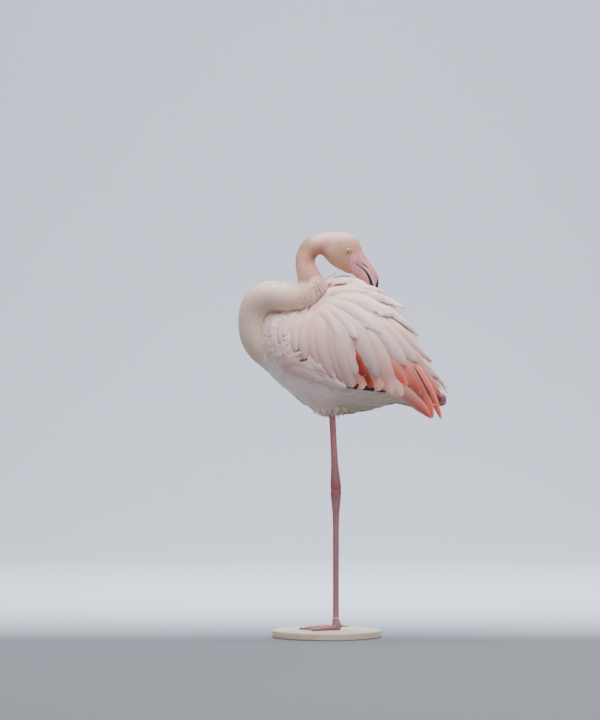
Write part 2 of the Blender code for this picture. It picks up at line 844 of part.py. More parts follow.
def make_neck(torso):
    """The neck in three lengths: out of the chest, back over the shoulder, and up to the nape."""
    rows = smooth_rows(NECK_LOWER, NECK_STEPS)
    rings = tube_rings(rows, NECK_SIDES)
    split = NECK_SPLIT * NECK_STEPS
    ahead = unit(rows[split + 1, :3] - rows[split - 1, :3])
    start = [p + GAP * ahead for p in rings[split]]
    last = rows[-1]
    dome, pole = rounded_end(rings, last[:3], unit(last[:3] - rows[-2, :3]), last[3])
    middle = loft("neck_middle", [start] + rings[split + 1 :] + dome, (None, pole))
    base = fuse([loft("neck_base", rings[: split + 1])], [grown(torso)])
    middle = fuse([middle], [grown(torso)])
    head_room = block("head_room", HEAD_ROOM_LOW, HEAD_ROOM_HIGH)
    upper = loft("neck_upper", tube_rings(smooth_rows(NECK_UPPER, NECK_STEPS), NECK_SIDES))
    upper = fuse([upper], [grown(middle), head_room])
    for obj in (base, middle, upper):
        finish_node(obj, obj.name, "blush")
    return base, middle, upper


def leg_tube(name, rows):
    """A length of bare leg."""
    return loft(name, tube_rings(rows, LEG_SIDES, LEG_SQUASH))


def joint_rows(start, end, length_radius, joint_radius, upright=False):
    """Rows for a leg bone from start to end, swollen at its start, which is level if upright is set."""
    start, end = np.array(start, float), np.array(end, float)
    total = np.linalg.norm(end - start)
    shares = [(d / total, amount) for d, amount in JOINT_SWELL if d < total * SWELL_REACH] + [(1.0, 0.0)]
    rows = []
    for share, amount in shares:
        centre = start + (end - start) * share
        if upright and len(rows) == 1:
            centre[:2] = start[:2]
        rows.append((*centre, length_radius + (joint_radius - length_radius) * amount))
    return rows


def toe_direction(angle):
    """Level and turned by angle, in degrees, from straight ahead."""
    heading = math.radians(180 + angle)
    return np.array([math.cos(heading), math.sin(heading), 0])


def toe(angle, length, base, radius):
    """One toe with its pads and claw, from base, turned by angle from straight ahead."""
    forward = toe_direction(angle)
    rows = []
    for i, pad in enumerate(TOE_PADS):
        t = i / (len(TOE_PADS) - 1)
        r = radius * pad * (1 - TOE_TAPER * t)
        rows.append((*(base + forward * (length - CLAW_LENGTH) * t + np.array([0, 0, r * SOLE_SINK])), r))
    tip = base + forward * length + np.array([0, 0, CLAW_TIP_Z])
    middle = np.array(rows[-1][:3]) * 0.45 + tip * 0.55
    rows.append((*middle, radius * 0.26))
    rows.append((*tip, radius * 0.07))
    return loft("toe", tube_rings(rows, TOE_SIDES))


def web(first, second, base):
    """The skin between two toes, with a hollow front edge."""
    points = [base]
    toes = [base + toe_direction(angle) * length * WEB_REACH for angle, length in (first, second)]
    for t in np.linspace(0, 1, WEB_STEPS):
        edge = toes[0] * (1 - t) + toes[1] * t
        points.append(edge + (base - edge) * WEB_HOLLOW * t * (1 - t))
    low = [p + np.array([0, 0, WEB_LIFT]) for p in points]
    high = [p + np.array([0, 0, WEB_LIFT + WEB_THICKNESS]) for p in points]
    count = len(points)
    faces = []
    for k in range(1, count - 1):
        faces += [(0, k, k + 1), (count, count + k + 1, count + k)]
    for k in range(count):
        after = (k + 1) % count
        faces += [(k, after, count + after), (k, count + after, count + k)]
    return mesh_object("web", low + high, faces)


def standing_foot():
    """The webbed foot that carries the bird, with flat soles on the floor."""
    base = np.array(TOE_BASE, float)
    spread = list(zip(TOE_ANGLES, TOE_LENGTHS))
    toes = [toe(angle, length, base, TOE_RADIUS) for angle, length in spread]
    hallux = toe(HALLUX_ANGLE, HALLUX_LENGTH + CLAW_LENGTH, np.array(HALLUX_BASE, float), HALLUX_RADIUS)
    webs = [web(first, second, base) for first, second in zip(spread, spread[1:])]
    knob = loft("knob", tube_rings(TOE_KNOB, LEG_SIDES, KNOB_SQUASH))
    floor = block("floor", BELOW_FLOOR_LOW, BELOW_FLOOR_HIGH)
    finish_node(fuse([knob] + toes + webs + [hallux], [floor]), "foot_left", "leg")


def make_standing_leg(torso):
    """The left leg under the body: shank, ankle and tarsus."""
    standing_foot()
    x, y, z, _ = TOE_KNOB[-1]
    tarsus = joint_rows(ANKLE, (x, y, z + GAP), TARSUS_RADIUS, ANKLE_RADIUS, True)
    above = (ANKLE[0], ANKLE[1], ANKLE[2] + GAP)
    shank = joint_rows(above, SHANK_TOP, SHANK_RADIUS, ANKLE_RADIUS, True)
    finish_node(leg_tube("tarsus_left", tarsus), "tarsus_left", "leg")
    finish_node(fuse([leg_tube("shank_left", shank)], [grown(torso)]), "shank_left", "leg")


def folded_foot():
    """The pieces of the tucked foot, its toes closed and hanging back under the tarsus."""
    start = np.array(FOLDED_START, float)
    direction = unit(np.array(FOLDED_DIRECTION))
    knob_rows = [(*(start + direction * along), radius) for along, radius in FOLDED_KNOB]
    pieces = [loft("folded_knob", tube_rings(knob_rows, FOLDED_KNOB_SIDES))]
    for k, length in zip((-1, 0, 1), FOLDED_LENGTHS):
        rows = []
        for i, pad in enumerate(FOLDED_PADS):
            t = i / (len(FOLDED_PADS) - 1)
            spread = k * np.array(FOLDED_SPREAD) * (0, 0.5 + 0.5 * t, t)
            rows.append((*(start + direction * length * t + spread), TOE_RADIUS * pad))
        pieces.append(loft("folded_toe", tube_rings(rows, FOLDED_SIDES)))
    return pieces


def make_tucked_leg(torso):
    """The right leg, folded along the flank with its ankle behind the tail."""
    ankle = np.array(TUCKED_ANKLE, float)
    spread = np.array(TUCKED_SPREAD)
    tarsus_start, shank_start = ankle + spread, ankle - spread
    tarsus_rows = joint_rows(tarsus_start, TUCKED_TOE_JOINT, TARSUS_RADIUS, TUCKED_TARSUS_RADIUS)
    x, z, radius = TUCKED_TARSUS_END
    tarsus_rows.insert(0, (*(tarsus_start + np.array([x, 0, z])), radius))
    shank_rows = joint_rows(shank_start, TUCKED_SHANK_ROOT, SHANK_RADIUS, TUCKED_SHANK_RADIUS)
    x, z, radius = TUCKED_SHANK_END
    shank_rows.insert(0, (*(shank_start + np.array([x, 0, z])), radius))
    tarsus = leg_tube("tarsus_right", tarsus_rows)
    foot = fuse(folded_foot(), [grown(torso), grown(tarsus)])
    shank = fuse([leg_tube("shank_right", shank_rows)], [grown(torso), grown(tarsus)])
    tarsus = fuse([tarsus], [grown(torso)])
    for obj, name in ((tarsus, "tarsus_right"), (shank, "shank_right"), (foot, "foot_right")):
        finish_node(obj, name, "leg")
    return tarsus, shank


def belly_tufts():
    """Loose feathers round the top of the standing leg."""
    made = []
    for i in range(TUFT_COUNT):
        angle = 2 * math.pi * i / TUFT_COUNT + 0.2
        outward = np.array([TUFT_RING[0] * math.cos(angle), TUFT_RING[1] * math.sin(angle), 0])
        start = np.array(TUFT_CENTRE) + outward
        length = TUFT_LENGTH * (1 + 0.2 * math.sin(4 * i))
        end = start + outward / TUFT_RING[0] * (length * TUFT_FLARE) - np.array([0, 0, length])
        centres = [start + (end - start) * t for t in list(VANE_STEPS) + [1.0]]
        made.append(vane(f"tuft_{i}", centres, [outward] * len(centres), TUFT_WIDTH, THIN_VANE))
    return made


def make_base():
    """The flat round base that keeps the bird from tipping over."""
    rings = []
    for height, inset in ((-BASE_THICKNESS, 0), (-BASE_BEVEL, 0), (0, BASE_BEVEL)):
        radius = BASE_RADIUS - inset
        angles = [2 * math.pi * k / BASE_SIDES for k in range(BASE_SIDES)]
        rings.append(
            [np.array([BASE_X + radius * math.cos(a), radius * math.sin(a), height - GAP]) for a in angles]
        )
    finish_node(loft("stand_base", rings), "stand_base", "base")


def main():
    """Build the whole bird on its base."""
    clear_scene()
    make_base()
    torso_body, plumage = Body(TORSO, KEEL_FULLNESS), Body(PLUMAGE)
    torso = body_loft("torso", torso_body, TORSO_RINGS, TORSO_SIDES)
    bare_torso = grown(torso, 0)
    bill_room = make_bill()
    base, middle, upper = make_neck(torso)
    make_head()
    make_standing_leg(torso)
    tarsus, shank = make_tucked_leg(torso)

    tail = fuse(tail_vanes(), [grown(torso), grown(shank), grown(tarsus)])
    finish_node(tail, "tail", "blush")
    for side, word in ((LEFT, "left"), (RIGHT, "right")):
        rooms = [grown(obj) for obj in (bare_torso, tarsus, shank)] + tail_vanes(CUT_GAP)
        flight = fuse(primaries(plumage, side), rooms)
        finish_node(flight, f"primaries_{word}", "black")
        rooms = [grown(obj) for obj in (bare_torso, base, middle, upper, bill_room, tarsus, shank)]
        rooms += primaries(plumage, side, CUT_GAP) + tail_vanes(CUT_GAP)
        near, far = sorted((side * CUT_GAP, -side * OTHER_SIDE))
        low, high = zip(OTHER_SIDE_X, (near, far), OTHER_SIDE_Z)
        rooms.append(block("other_side", low, high))
        wing = fuse([wing_core(plumage, side)] + wing_vanes(plumage, side), rooms)
        finish_node(wing, f"wing_{word}", "white")

    leg_room = grown(bpy.data.objects["shank_left"])
    torso = fuse([torso] + belly_tufts(), [grown(bill_room), leg_room])
    finish_node(torso, "torso", "white")
    for helper in (bare_torso, bill_room):
        bpy.data.objects.remove(helper)


main()
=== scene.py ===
"""The looks of the resting flamingo: its skin, feathers, bill, eyes, legs and feet, on a plain round base.

Tables of sizes are in millimetres above the sole of the standing foot, as in the part's source. The function
metres() turns them into the frame's metres, whose floor is the underside of the base.
"""

import logging
import math
from dataclasses import dataclass, field
from enum import Enum
from typing import Callable, Optional, Sequence

import bmesh
import bpy
import numpy as np
from bpy.types import ID, Material, Node, NodeSocket, NodeTree, Object
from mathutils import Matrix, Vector
from mathutils.bvhtree import BVHTree


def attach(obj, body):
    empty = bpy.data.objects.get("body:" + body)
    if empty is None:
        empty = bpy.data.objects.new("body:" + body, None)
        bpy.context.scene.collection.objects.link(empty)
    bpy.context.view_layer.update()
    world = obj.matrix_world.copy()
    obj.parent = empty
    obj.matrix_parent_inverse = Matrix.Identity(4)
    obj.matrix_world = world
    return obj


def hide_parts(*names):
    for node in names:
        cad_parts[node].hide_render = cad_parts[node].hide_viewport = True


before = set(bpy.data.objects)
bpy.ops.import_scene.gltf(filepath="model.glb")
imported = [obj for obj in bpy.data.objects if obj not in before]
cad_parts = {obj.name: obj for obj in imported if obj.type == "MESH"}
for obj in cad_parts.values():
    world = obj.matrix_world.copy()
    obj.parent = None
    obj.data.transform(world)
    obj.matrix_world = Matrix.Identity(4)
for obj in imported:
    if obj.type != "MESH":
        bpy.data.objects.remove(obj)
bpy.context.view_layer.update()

LOG = logging.getLogger("flamingo")
MM = 0.001
BASE_THICKNESS = 16.0
GAP = 0.3
RISE = BASE_THICKNESS + GAP
BAKE_MAP = "OFBake"
VANE_MAP = "Vane"
TINT = "tint"
PATCH = 0.003
RIM_ANGLE = 55.0
# Painted shade: how much darker a vane's underside is than its upper side
UNDERSIDE_SHADE = 0.9
SKIN_SHADE = 0.9
FRAYED_LANE = 0.6

Array = np.ndarray
Random = np.random.Generator
Rows = Sequence[Sequence[float]]
Colour = tuple[float, float, float]

WHITE: Colour = (0.90, 0.70, 0.65)
CREAM: Colour = (0.82, 0.58, 0.475)
BLUSH: Colour = (0.82, 0.46, 0.40)
HORN: Colour = (0.68, 0.265, 0.275)
BLACK: Colour = (0.018, 0.014, 0.016)
# Painted shade on the lower belly
BELLY_SHADE: Colour = (0.34, 0.285, 0.175)
OCHRE: Colour = (0.58, 0.29, 0.19)
FAWN: Colour = (0.69, 0.385, 0.26)
NAPE: Colour = (0.63, 0.26, 0.18)
SHADE: Colour = (0.34, 0.16, 0.11)


class DyeAndShade(Enum):
    """How large feathers are coloured: at the root, at the tip and along both edges. The darker edges of
    WHITE and BLUSH are painted shade between feathers, GAP is a painted shadow line between two plumes and a
    dark red spot on the flank, and the shaded pale salmon is pale salmon darkened by painted shade.
    """

    WHITE = ((0.82, 0.56, 0.50), (0.90, 0.72, 0.68), (0.72, 0.45, 0.41))
    BLUSH = ((0.80, 0.48, 0.43), (0.87, 0.64, 0.59), (0.70, 0.40, 0.36))
    CREAM = ((0.84, 0.52, 0.42), (0.88, 0.70, 0.58), (0.86, 0.60, 0.50))
    # Pale salmon, darkened as painted shade where these plumes lie in shadow
    PALE = ((0.58, 0.285, 0.245), (0.73, 0.115, 0.077), (0.75, 0.33, 0.28))
    ROSY = ((0.88, 0.60, 0.55), (0.86, 0.42, 0.36), (0.88, 0.50, 0.44))
    TAN = ((0.84, 0.42, 0.35), (0.78, 0.30, 0.23), (0.86, 0.44, 0.37))
    # Painted shadow: a thin dark feather in the gap between two plumes; on the flank also a dark red spot
    GAP = ((0.30, 0.07, 0.05), (0.16, 0.03, 0.02), (0.24, 0.05, 0.035))
    SALMON = ((0.93, 0.25, 0.20), (0.82, 0.10, 0.062), (0.93, 0.39, 0.335))
    CORAL = ((0.29, 0.028, 0.016), (0.34, 0.030, 0.016), (0.76, 0.28, 0.225))

    def tints(self, shares: Array, lanes: Array) -> Array:
        """Colours of a vane.

        Args:
            shares: Places along the shaft, from 0 to 1.
            lanes: Places across, from -1 to 1.

        Returns:
            The colour at each place along and across.
        """
        root, tip, edge = (np.array(c) for c in self.value)
        core = blend(root, tip, ease(0.15, 0.95, shares)[:, None])
        rim = np.maximum(0.9 * np.abs(lanes)[None] ** 3.2, 0.7 * ease(0.94, 1, shares)[:, None])
        return blend(core[:, None], edge, rim[..., None])


class Side(Enum):
    """The bird's two sides, by the sign of Y."""

    LEFT = -1
    RIGHT = 1

    @property
    def word(self) -> str:
        """The side's name in the nodes."""
        return self.name.lower()


class Outline(Enum):
    """The outlines that feathers have."""

    ROUND = "round"
    LONG = "long"
    POINTED = "pointed"

    def widths(self, shares: Array) -> Array:
        """Half width at each share of the length.

        Args:
            shares: Places along the shaft, from 0 at the root to 1 at the tip.

        Returns:
            Half widths, where 1 is the feather's widest.
        """
        base, shoulder, power = {
            Outline.ROUND: (0.35, 0.55, 2.0),
            Outline.LONG: (0.62, 0.74, 2.2),
            Outline.POINTED: (0.5, 0.42, 1.5),
        }[self]
        swell = base + (1 - base) * np.minimum(1, shares / 0.3) ** 0.8
        past = np.clip((shares - shoulder) / (1 - shoulder), 0, 1)
        return swell * np.sqrt(np.maximum(0.0004, 1 - past**power))


def metres(points: Array) -> Array:
    """Millimetres above the sole as the frame's metres."""
    return (np.asarray(points, float) + (0, 0, RISE)) * MM


def millimetres(points: Array) -> Array:
    """The frame's metres as millimetres above the sole."""
    return points / MM - (0, 0, RISE)


def unit(vectors: Array) -> Array:
    """Vectors at length 1."""
    return vectors / np.maximum(np.linalg.norm(vectors, axis=-1, keepdims=True), 1e-12)


def laid(vectors: Array, facing: Array) -> Array:
    """Vectors laid flat on a surface that faces so, at length 1."""
    return unit(vectors - facing * (vectors * facing).sum(-1, keepdims=True))


def blend(low: Array, high: Array, share: Array) -> Array:
    """A mix of two values or colours by a share from 0 to 1."""
    return np.asarray(low) + (np.asarray(high) - np.asarray(low)) * share


def ease(low: float, high: float, value: Array) -> Array:
    """A smooth step from 0 at low to 1 at high."""
    share = np.clip((np.asarray(value, float) - low) / (high - low), 0, 1)
    return share * share * (3 - 2 * share)


def smooth_rows(rows: Rows, per_span: int) -> Array:
    """Rows joined by a smooth curve through each.

    Args:
        rows: Numbers, one row for each point of the curve.
        per_span: Steps between two rows.

    Returns:
        The denser rows.
    """
    rows = np.array(rows, float)
    padded = np.vstack([2 * rows[0] - rows[1], rows, 2 * rows[-1] - rows[-2]])
    made = []
    for i in range(1, len(padded) - 2):
        before, start, end, after = padded[i - 1 : i + 3]
        for t in np.arange(per_span) / per_span:
            bend = 2 * before - 5 * start + 4 * end - after
            turn = 3 * start - before - 3 * end + after
            made.append(start + 0.5 * ((end - before) * t + bend * t * t + turn * t**3))
    made.append(rows[-1])
    return np.array(made)


def quadratic(three: Rows, share: Array) -> Array:
    """Points at shares from 0 to 1 on the curve that three control points give.

    Args:
        three: The control points.
        share: The shares.

    Returns:
        The points.
    """
    first, middle, last = (np.array(p, float) for p in three)
    t = np.asarray(share, float)[..., None]
    return first * (1 - t) ** 2 + 2 * middle * t * (1 - t) + last * t * t


def circle(count: int) -> Array:
    """Angles evenly all round."""
    return np.arange(count) * 2 * math.pi / count


def travelled(points: Array) -> Array:
    """How far along a line each of its points is."""
    return np.concatenate([[0], np.cumsum(np.linalg.norm(np.diff(points, axis=0), axis=1))])


def spot(points: Array, middle: Sequence[float], reach: Sequence[float]) -> Array:
    """A soft round mark in the side view, 1 at its middle."""
    x, z = points[:, 0], points[:, 2]
    return np.exp(-(((x - middle[0]) / reach[0]) ** 2) - ((z - middle[1]) / reach[1]) ** 2)


def deselect() -> None:
    """Leave nothing selected."""
    bpy.ops.object.select_all(action="DESELECT")


def activate(*objects: Object) -> None:
    """Leave only these selected, and the first of them active."""
    deselect()
    for obj in objects:
        obj.select_set(True)
    bpy.context.view_layer.objects.active = objects[0]


def add_object(name: str, data: ID) -> Object:
    """A new object of a mesh, light or camera, in the scene.

    Args:
        name: Its name.
        data: What it shows.

    Returns:
        The object.
    """
    obj = bpy.data.objects.new(name, data)
    bpy.context.scene.collection.objects.link(obj)
    return obj


def link(name: str, points: Array, faces: Sequence[Sequence[int]]) -> Object:
    """A new object from points in metres.

    Args:
        name: The object's name.
        points: Its vertices.
        faces: Its faces, by vertex number.

    Returns:
        The object, in the scene.
    """
    mesh = bpy.data.meshes.new(name)
    mesh.from_pydata(np.asarray(points).tolist(), [], [list(map(int, f)) for f in faces])
    return add_object(name, mesh)


def melt(parts: Sequence[Object], name: str, voxel: float, rounds: int) -> Object:
    """Join closed forms and melt them into one soft skin.

    Args:
        parts: The forms.
        name: The skin's name.
        voxel: The size of its faces, in metres.
        rounds: How often it is smoothed.

    Returns:
        The skin.
    """
    activate(*parts)
    bpy.ops.object.join()
    obj = parts[0]
    obj.name = name
    remesh = obj.modifiers.new("melt", "REMESH")
    remesh.mode = "VOXEL"
    remesh.voxel_size = voxel
    soften = obj.modifiers.new("soften", "SMOOTH")
    soften.factor = 0.5
    soften.iterations = rounds
    for modifier in ("melt", "soften"):
        bpy.ops.object.modifier_apply(modifier=modifier)
    return obj


def face_outwards(obj: Object) -> None:
    """Turn the faces of a closed mesh outwards.

    Args:
        obj: The object of the mesh.
    """
    work = bmesh.new()
    work.from_mesh(obj.data)
    bmesh.ops.recalc_face_normals(work, faces=work.faces)
    if work.calc_volume(signed=True) < 0:
        bmesh.ops.reverse_faces(work, faces=work.faces)
    work.to_mesh(obj.data)
    work.free()


def set_tint(obj: Object, colours: Array) -> None:
    """Store a colour for each vertex, which the finish reads.

    Args:
        obj: The object.
        colours: A row of red, green and blue for each vertex.
    """
    layer = obj.data.attributes.new(TINT, "FLOAT_COLOR", "POINT")
    full = np.ones((len(obj.data.vertices), 4), np.float32)
    full[:, :3] = colours
    layer.data.foreach_set("color", full.ravel())


def vertices(obj: Object) -> Array:
    """An object's vertices as an array.

    Args:
        obj: The object of the mesh.

    Returns:
        A row for each vertex, in metres.
    """
    flat = np.empty(len(obj.data.vertices) * 3, np.float32)
    obj.data.vertices.foreach_get("co", flat)
    return flat.reshape(-1, 3).astype(float)


def move_vertices(obj: Object, points: Array) -> None:
    """Move an object's vertices to points in metres."""
    obj.data.vertices.foreach_set("co", points.astype(np.float32).ravel())


def dress(obj: Object, finish: Material, slot: str, *nodes: str) -> None:
    """Give a finished piece its finish and its place in the frame.

    Args:
        obj: The piece.
        finish: Its material.
        slot: The record's slot that it stands for; not used.
        nodes: The CAD nodes that it replaces, if any.
    """
    obj.data.materials.clear()
    obj.data.materials.append(finish)
    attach(obj, "root")
    if nodes:
        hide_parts(*nodes)
    LOG.info("%s: %d faces", obj.name, len(obj.data.polygons))


@dataclass
class Surface:
    """A closed smooth form. A place on it is a share along it and a turn round it, each from 0 to 1."""

    grid: Array
    normals: Array = field(init=False)

    def __post_init__(self) -> None:
        """Work out the outward directions."""
        along = np.gradient(self.grid, axis=0)
        around = np.roll(self.grid, -1, 1) - np.roll(self.grid, 1, 1)
        outward = unit(np.cross(around, along))
        middle = self.grid.mean(1, keepdims=True)
        signs = np.sign(((self.grid - middle) * outward).sum(-1).mean())
        self.normals = outward * signs

    def _mix(self, values: Array, along: Array, turn: Array) -> Array:
        """Values of the grid between its points.

        Args:
            values: What the grid holds at its points.
            along: Shares of its length.
            turn: Shares of a turn.

        Returns:
            A value for each place.
        """
        rows, columns = self.grid.shape[:2]
        a = np.clip(along, 0, 1) * (rows - 1)
        i = np.minimum(a.astype(int), rows - 2)
        u = (a - i)[..., None]
        t = np.mod(turn, 1.0) * columns
        j = np.floor(t).astype(int) % columns
        v = (t - np.floor(t))[..., None]
        k = (j + 1) % columns
        near = values[i, j] * (1 - v) + values[i, k] * v
        far = values[i + 1, j] * (1 - v) + values[i + 1, k] * v
        return near * (1 - u) + far * u

    def at(self, along: Array, turn: Array, lift: Array = 0.0) -> Array:
        """Points on the form, raised by lift."""
        raised = np.asarray(lift, float)[..., None] * self.facing(along, turn)
        return self._mix(self.grid, along, turn) + raised

    def facing(self, along: Array, turn: Array) -> Array:
        """The outward direction there."""
        return unit(self._mix(self.normals, along, turn))

    def roots(self, spacing: float, low: float, high: float, rng: Random) -> tuple:
        """Staggered places all over a stretch of the form, about spacing apart.

        Args:
            spacing: The distance between two, in the grid's unit.
            low: Where the stretch starts, along the form.
            high: Where it ends.
            rng: The source of small differences.

        Returns:
            How far along each place is, and its turn.
        """
        steps = np.linalg.norm(np.diff(self.grid, axis=0), axis=-1).max(1)
        travelled = np.concatenate([[0], np.cumsum(steps)])
        shares = np.linspace(0, 1, len(travelled))
        start, end = np.interp([low, high], shares, travelled)
        along, turns = [], []
        for number, distance in enumerate(np.arange(start, end, spacing)):
            share = np.interp(distance, travelled, shares)
            ring = self.at(np.full(64, share), np.arange(64) / 64)
            around = np.linalg.norm(np.roll(ring, -1, 0) - ring, axis=1).sum()
            count = max(6, int(around / spacing))
            turn = (np.arange(count) + 0.5 * (number % 2)) / count
            turns.append(turn + rng.normal(0, 0.16 / count, count))
            along.append(share + rng.normal(0, 0.14 * spacing / travelled[-1], count))
        return np.clip(np.concatenate(along), 0, 1), np.concatenate(turns)

    def mesh(self, name: str, inset: float = 0.0) -> Object:
        """The form as a closed object in metres, its grid in millimetres set in by inset."""
        return closed_form(name, self.grid - inset * self.normals)


def grid_faces(rows: int, columns: int, closed: bool) -> list[tuple[int, int, int, int]]:
    """Quads of a grid of vertices, closed round its columns or not.

    Args:
        rows: Its rows.
        columns: Its columns.
        closed: Whether the last column meets the first.

    Returns:
        Four vertex numbers for each face.
    """
    faces = []
    for i in range(rows - 1):
        for j in range(columns if closed else columns - 1):
            k = (j + 1) % columns
            faces.append((i * columns + j, i * columns + k, (i + 1) * columns + k, (i + 1) * columns + j))
    return faces


def closed_form(name: str, grid: Array) -> Object:
    """A closed object from a grid in millimetres that closes round its columns, with both ends shut.

    Args:
        name: The object's name.
        grid: Points by ring and place on the ring.

    Returns:
        The object.
    """
    rows, columns = grid.shape[:2]
    points = grid.reshape(-1, 3)
    faces = grid_faces(rows, columns, True)
    hubs = [points[:columns].mean(0), points[-columns:].mean(0)]
    for hub, start in ((len(points), 0), (len(points) + 1, (rows - 1) * columns)):
        faces += [(hub, start + i, start + (i + 1) % columns) for i in range(columns)]
    obj = link(name, metres(np.vstack([points, hubs])), faces)
    face_outwards(obj)
    return obj


def tube(stations: Rows, per_span: int, sides: int, squash: float = 1.0) -> Surface:
    """A round form along a path.

    Args:
        stations: Rows of x, y, z and radius.
        per_span: Steps between two rows.
        sides: Points round each ring.
        squash: How narrow it is along Y.

    Returns:
        The form, whose turn 0 faces along Y.
    """
    rows = smooth_rows(stations, per_span)
    ahead = unit(np.gradient(rows[:, :3], axis=0))
    across = laid(np.tile([0.0, 1.0, 0.0], (len(rows), 1)), ahead)
    upward = np.cross(ahead, across)
    angles = circle(sides)[None, :, None]
    ring = squash * np.cos(angles) * across[:, None] + np.sin(angles) * upward[:, None]
    return Surface(rows[:, None, :3] + rows[:, None, 3:4] * ring)


@dataclass
class SectionBody:
    """A body given by sections along X: x, top, bottom and half width."""

    sections: Rows
    belly: float = 1.1
    shoulder: float = 0.92
    stations: int = 180
    sides: int = 120
    table: Array = field(init=False)
    surface: Surface = field(init=False)

    def __post_init__(self) -> None:
        """Build the surface."""
        self.table = smooth_rows(self.sections, 10)
        x = np.linspace(self.table[0, 0], self.table[-1, 0], self.stations)
        angles = circle(self.sides)[None]
        middle, half, width = (v[:, None] for v in self._section(x))
        cosine, sine = np.cos(angles), np.sin(angles)
        fullness = np.where(cosine > 0, self.shoulder, self.belly)
        y = np.sign(sine) * width * np.abs(sine) ** fullness
        x = np.broadcast_to(x[:, None], y.shape)
        self.surface = Surface(np.stack([x, y, middle + half * cosine], -1))

    def _section(self, x: Array) -> tuple[Array, Array, Array]:
        """Middle height, half height and half width at x."""
        top, bottom, width = (np.interp(x, self.table[:, 0], self.table[:, i]) for i in (1, 2, 3))
        return (top + bottom) / 2, (top - bottom) / 2, width

    def along(self, x: Array) -> Array:
        """How far along the body x is."""
        return (x - self.table[0, 0]) / (self.table[-1, 0] - self.table[0, 0])

    def place(self, points: Array) -> tuple[Array, Array]:
        """How far along points are, and their turn round the body.

        Args:
            points: Points in millimetres.

        Returns:
            Both, as shares of the length and of a turn.
        """
        middle, half, width = self._section(points[..., 0])
        cosine = (points[..., 2] - middle) / half
        fullness = np.where(cosine > 0, self.shoulder, self.belly)
        sine = np.sign(points[..., 1]) * (np.abs(points[..., 1]) / width) ** (1 / fullness)
        return self.along(points[..., 0]), np.arctan2(sine, cosine) / (2 * math.pi)

    def angle(self, x: Array, z: Array) -> Array:
        """The angle down from the top at which the surface passes height z."""
        middle, half, _ = self._section(x)
        return np.arccos(np.clip((z - middle) / half, -0.985, 0.985))


TORSO = SectionBody(
    (
        (-184, 632, 612, 6), (-175, 654, 597, 20), (-160, 678, 580, 36), (-144, 690, 563, 53),
        (-118, 698, 539, 76), (-79, 705, 509, 94), (-50, 713, 488, 98), (-24, 734, 475, 98.5),
        (31, 755, 480.5, 96.5), (79, 744, 489, 87), (123, 709, 501, 68), (154, 667, 498, 47),
        (182, 598, 489, 26), (204, 534, 494, 6),
    ),
    belly=1.3,
)
PLUMAGE = SectionBody(
    (
        (-166, 684, 590, 34), (-148, 708, 572, 62), (-112, 713, 534, 90), (-68, 735, 500, 106),
        (-22, 770, 473, 113), (18, 781, 470, 113), (53, 771, 477, 110), (88, 752, 487, 101),
        (123, 716, 496, 88), (152, 687, 499, 70), (180, 641, 495, 50), (211, 584, 484, 32),
        (246, 524, 472, 14),
    )
)
MOUTH: Rows = (
    (20, 813), (30, 811.5), (44, 806.3), (55, 799.7), (65, 792), (72.6, 782), (78, 771), (81.4, 759),
    (83, 748), (84.2, 735), (83.6, 718),
)


@dataclass(frozen=True)
class Vane:
    """How a kind of feather is made."""

    outline: Outline
    stations: int
    lanes: int
    crown: float = 0.1
    thickness: float = 0.4
    sweep: float = 0.25
    fray: float = 0.08
    splits: float = 0.0

    def shares(self) -> Array:
        """Where the stations lie along the shaft, closer towards the tip."""
        return 1 - (1 - np.linspace(0, 1, self.stations)) ** 1.35

    def faces(self) -> Array:
        """The triangles of one closed vane, whose upper points come before the ridge under them.

        Returns:
            Three vertex numbers for each triangle.
        """
        upper = np.arange(self.stations * self.lanes).reshape(self.stations, self.lanes)
        under = self.stations * self.lanes + np.arange(self.stations)
        made = []
        for i in range(self.stations - 1):
            for j in range(self.lanes - 1):
                a, b, c, d = upper[i, j], upper[i, j + 1], upper[i + 1, j + 1], upper[i + 1, j]
                made += [(a, b, c), (a, c, d)]
            left, far_left = upper[i, 0], upper[i + 1, 0]
            right, far_right = upper[i, -1], upper[i + 1, -1]
            low, far_low = under[i], under[i + 1]
            made += [(left, far_left, far_low), (left, far_low, low)]
            made += [(low, far_low, far_right), (low, far_right, right)]
        for row, step in ((0, -1), (self.stations - 1, 1)):
            for j in range(self.lanes - 1):
                made.append((*upper[row, j : j + 2][::step], under[row]))
        return np.array(made)


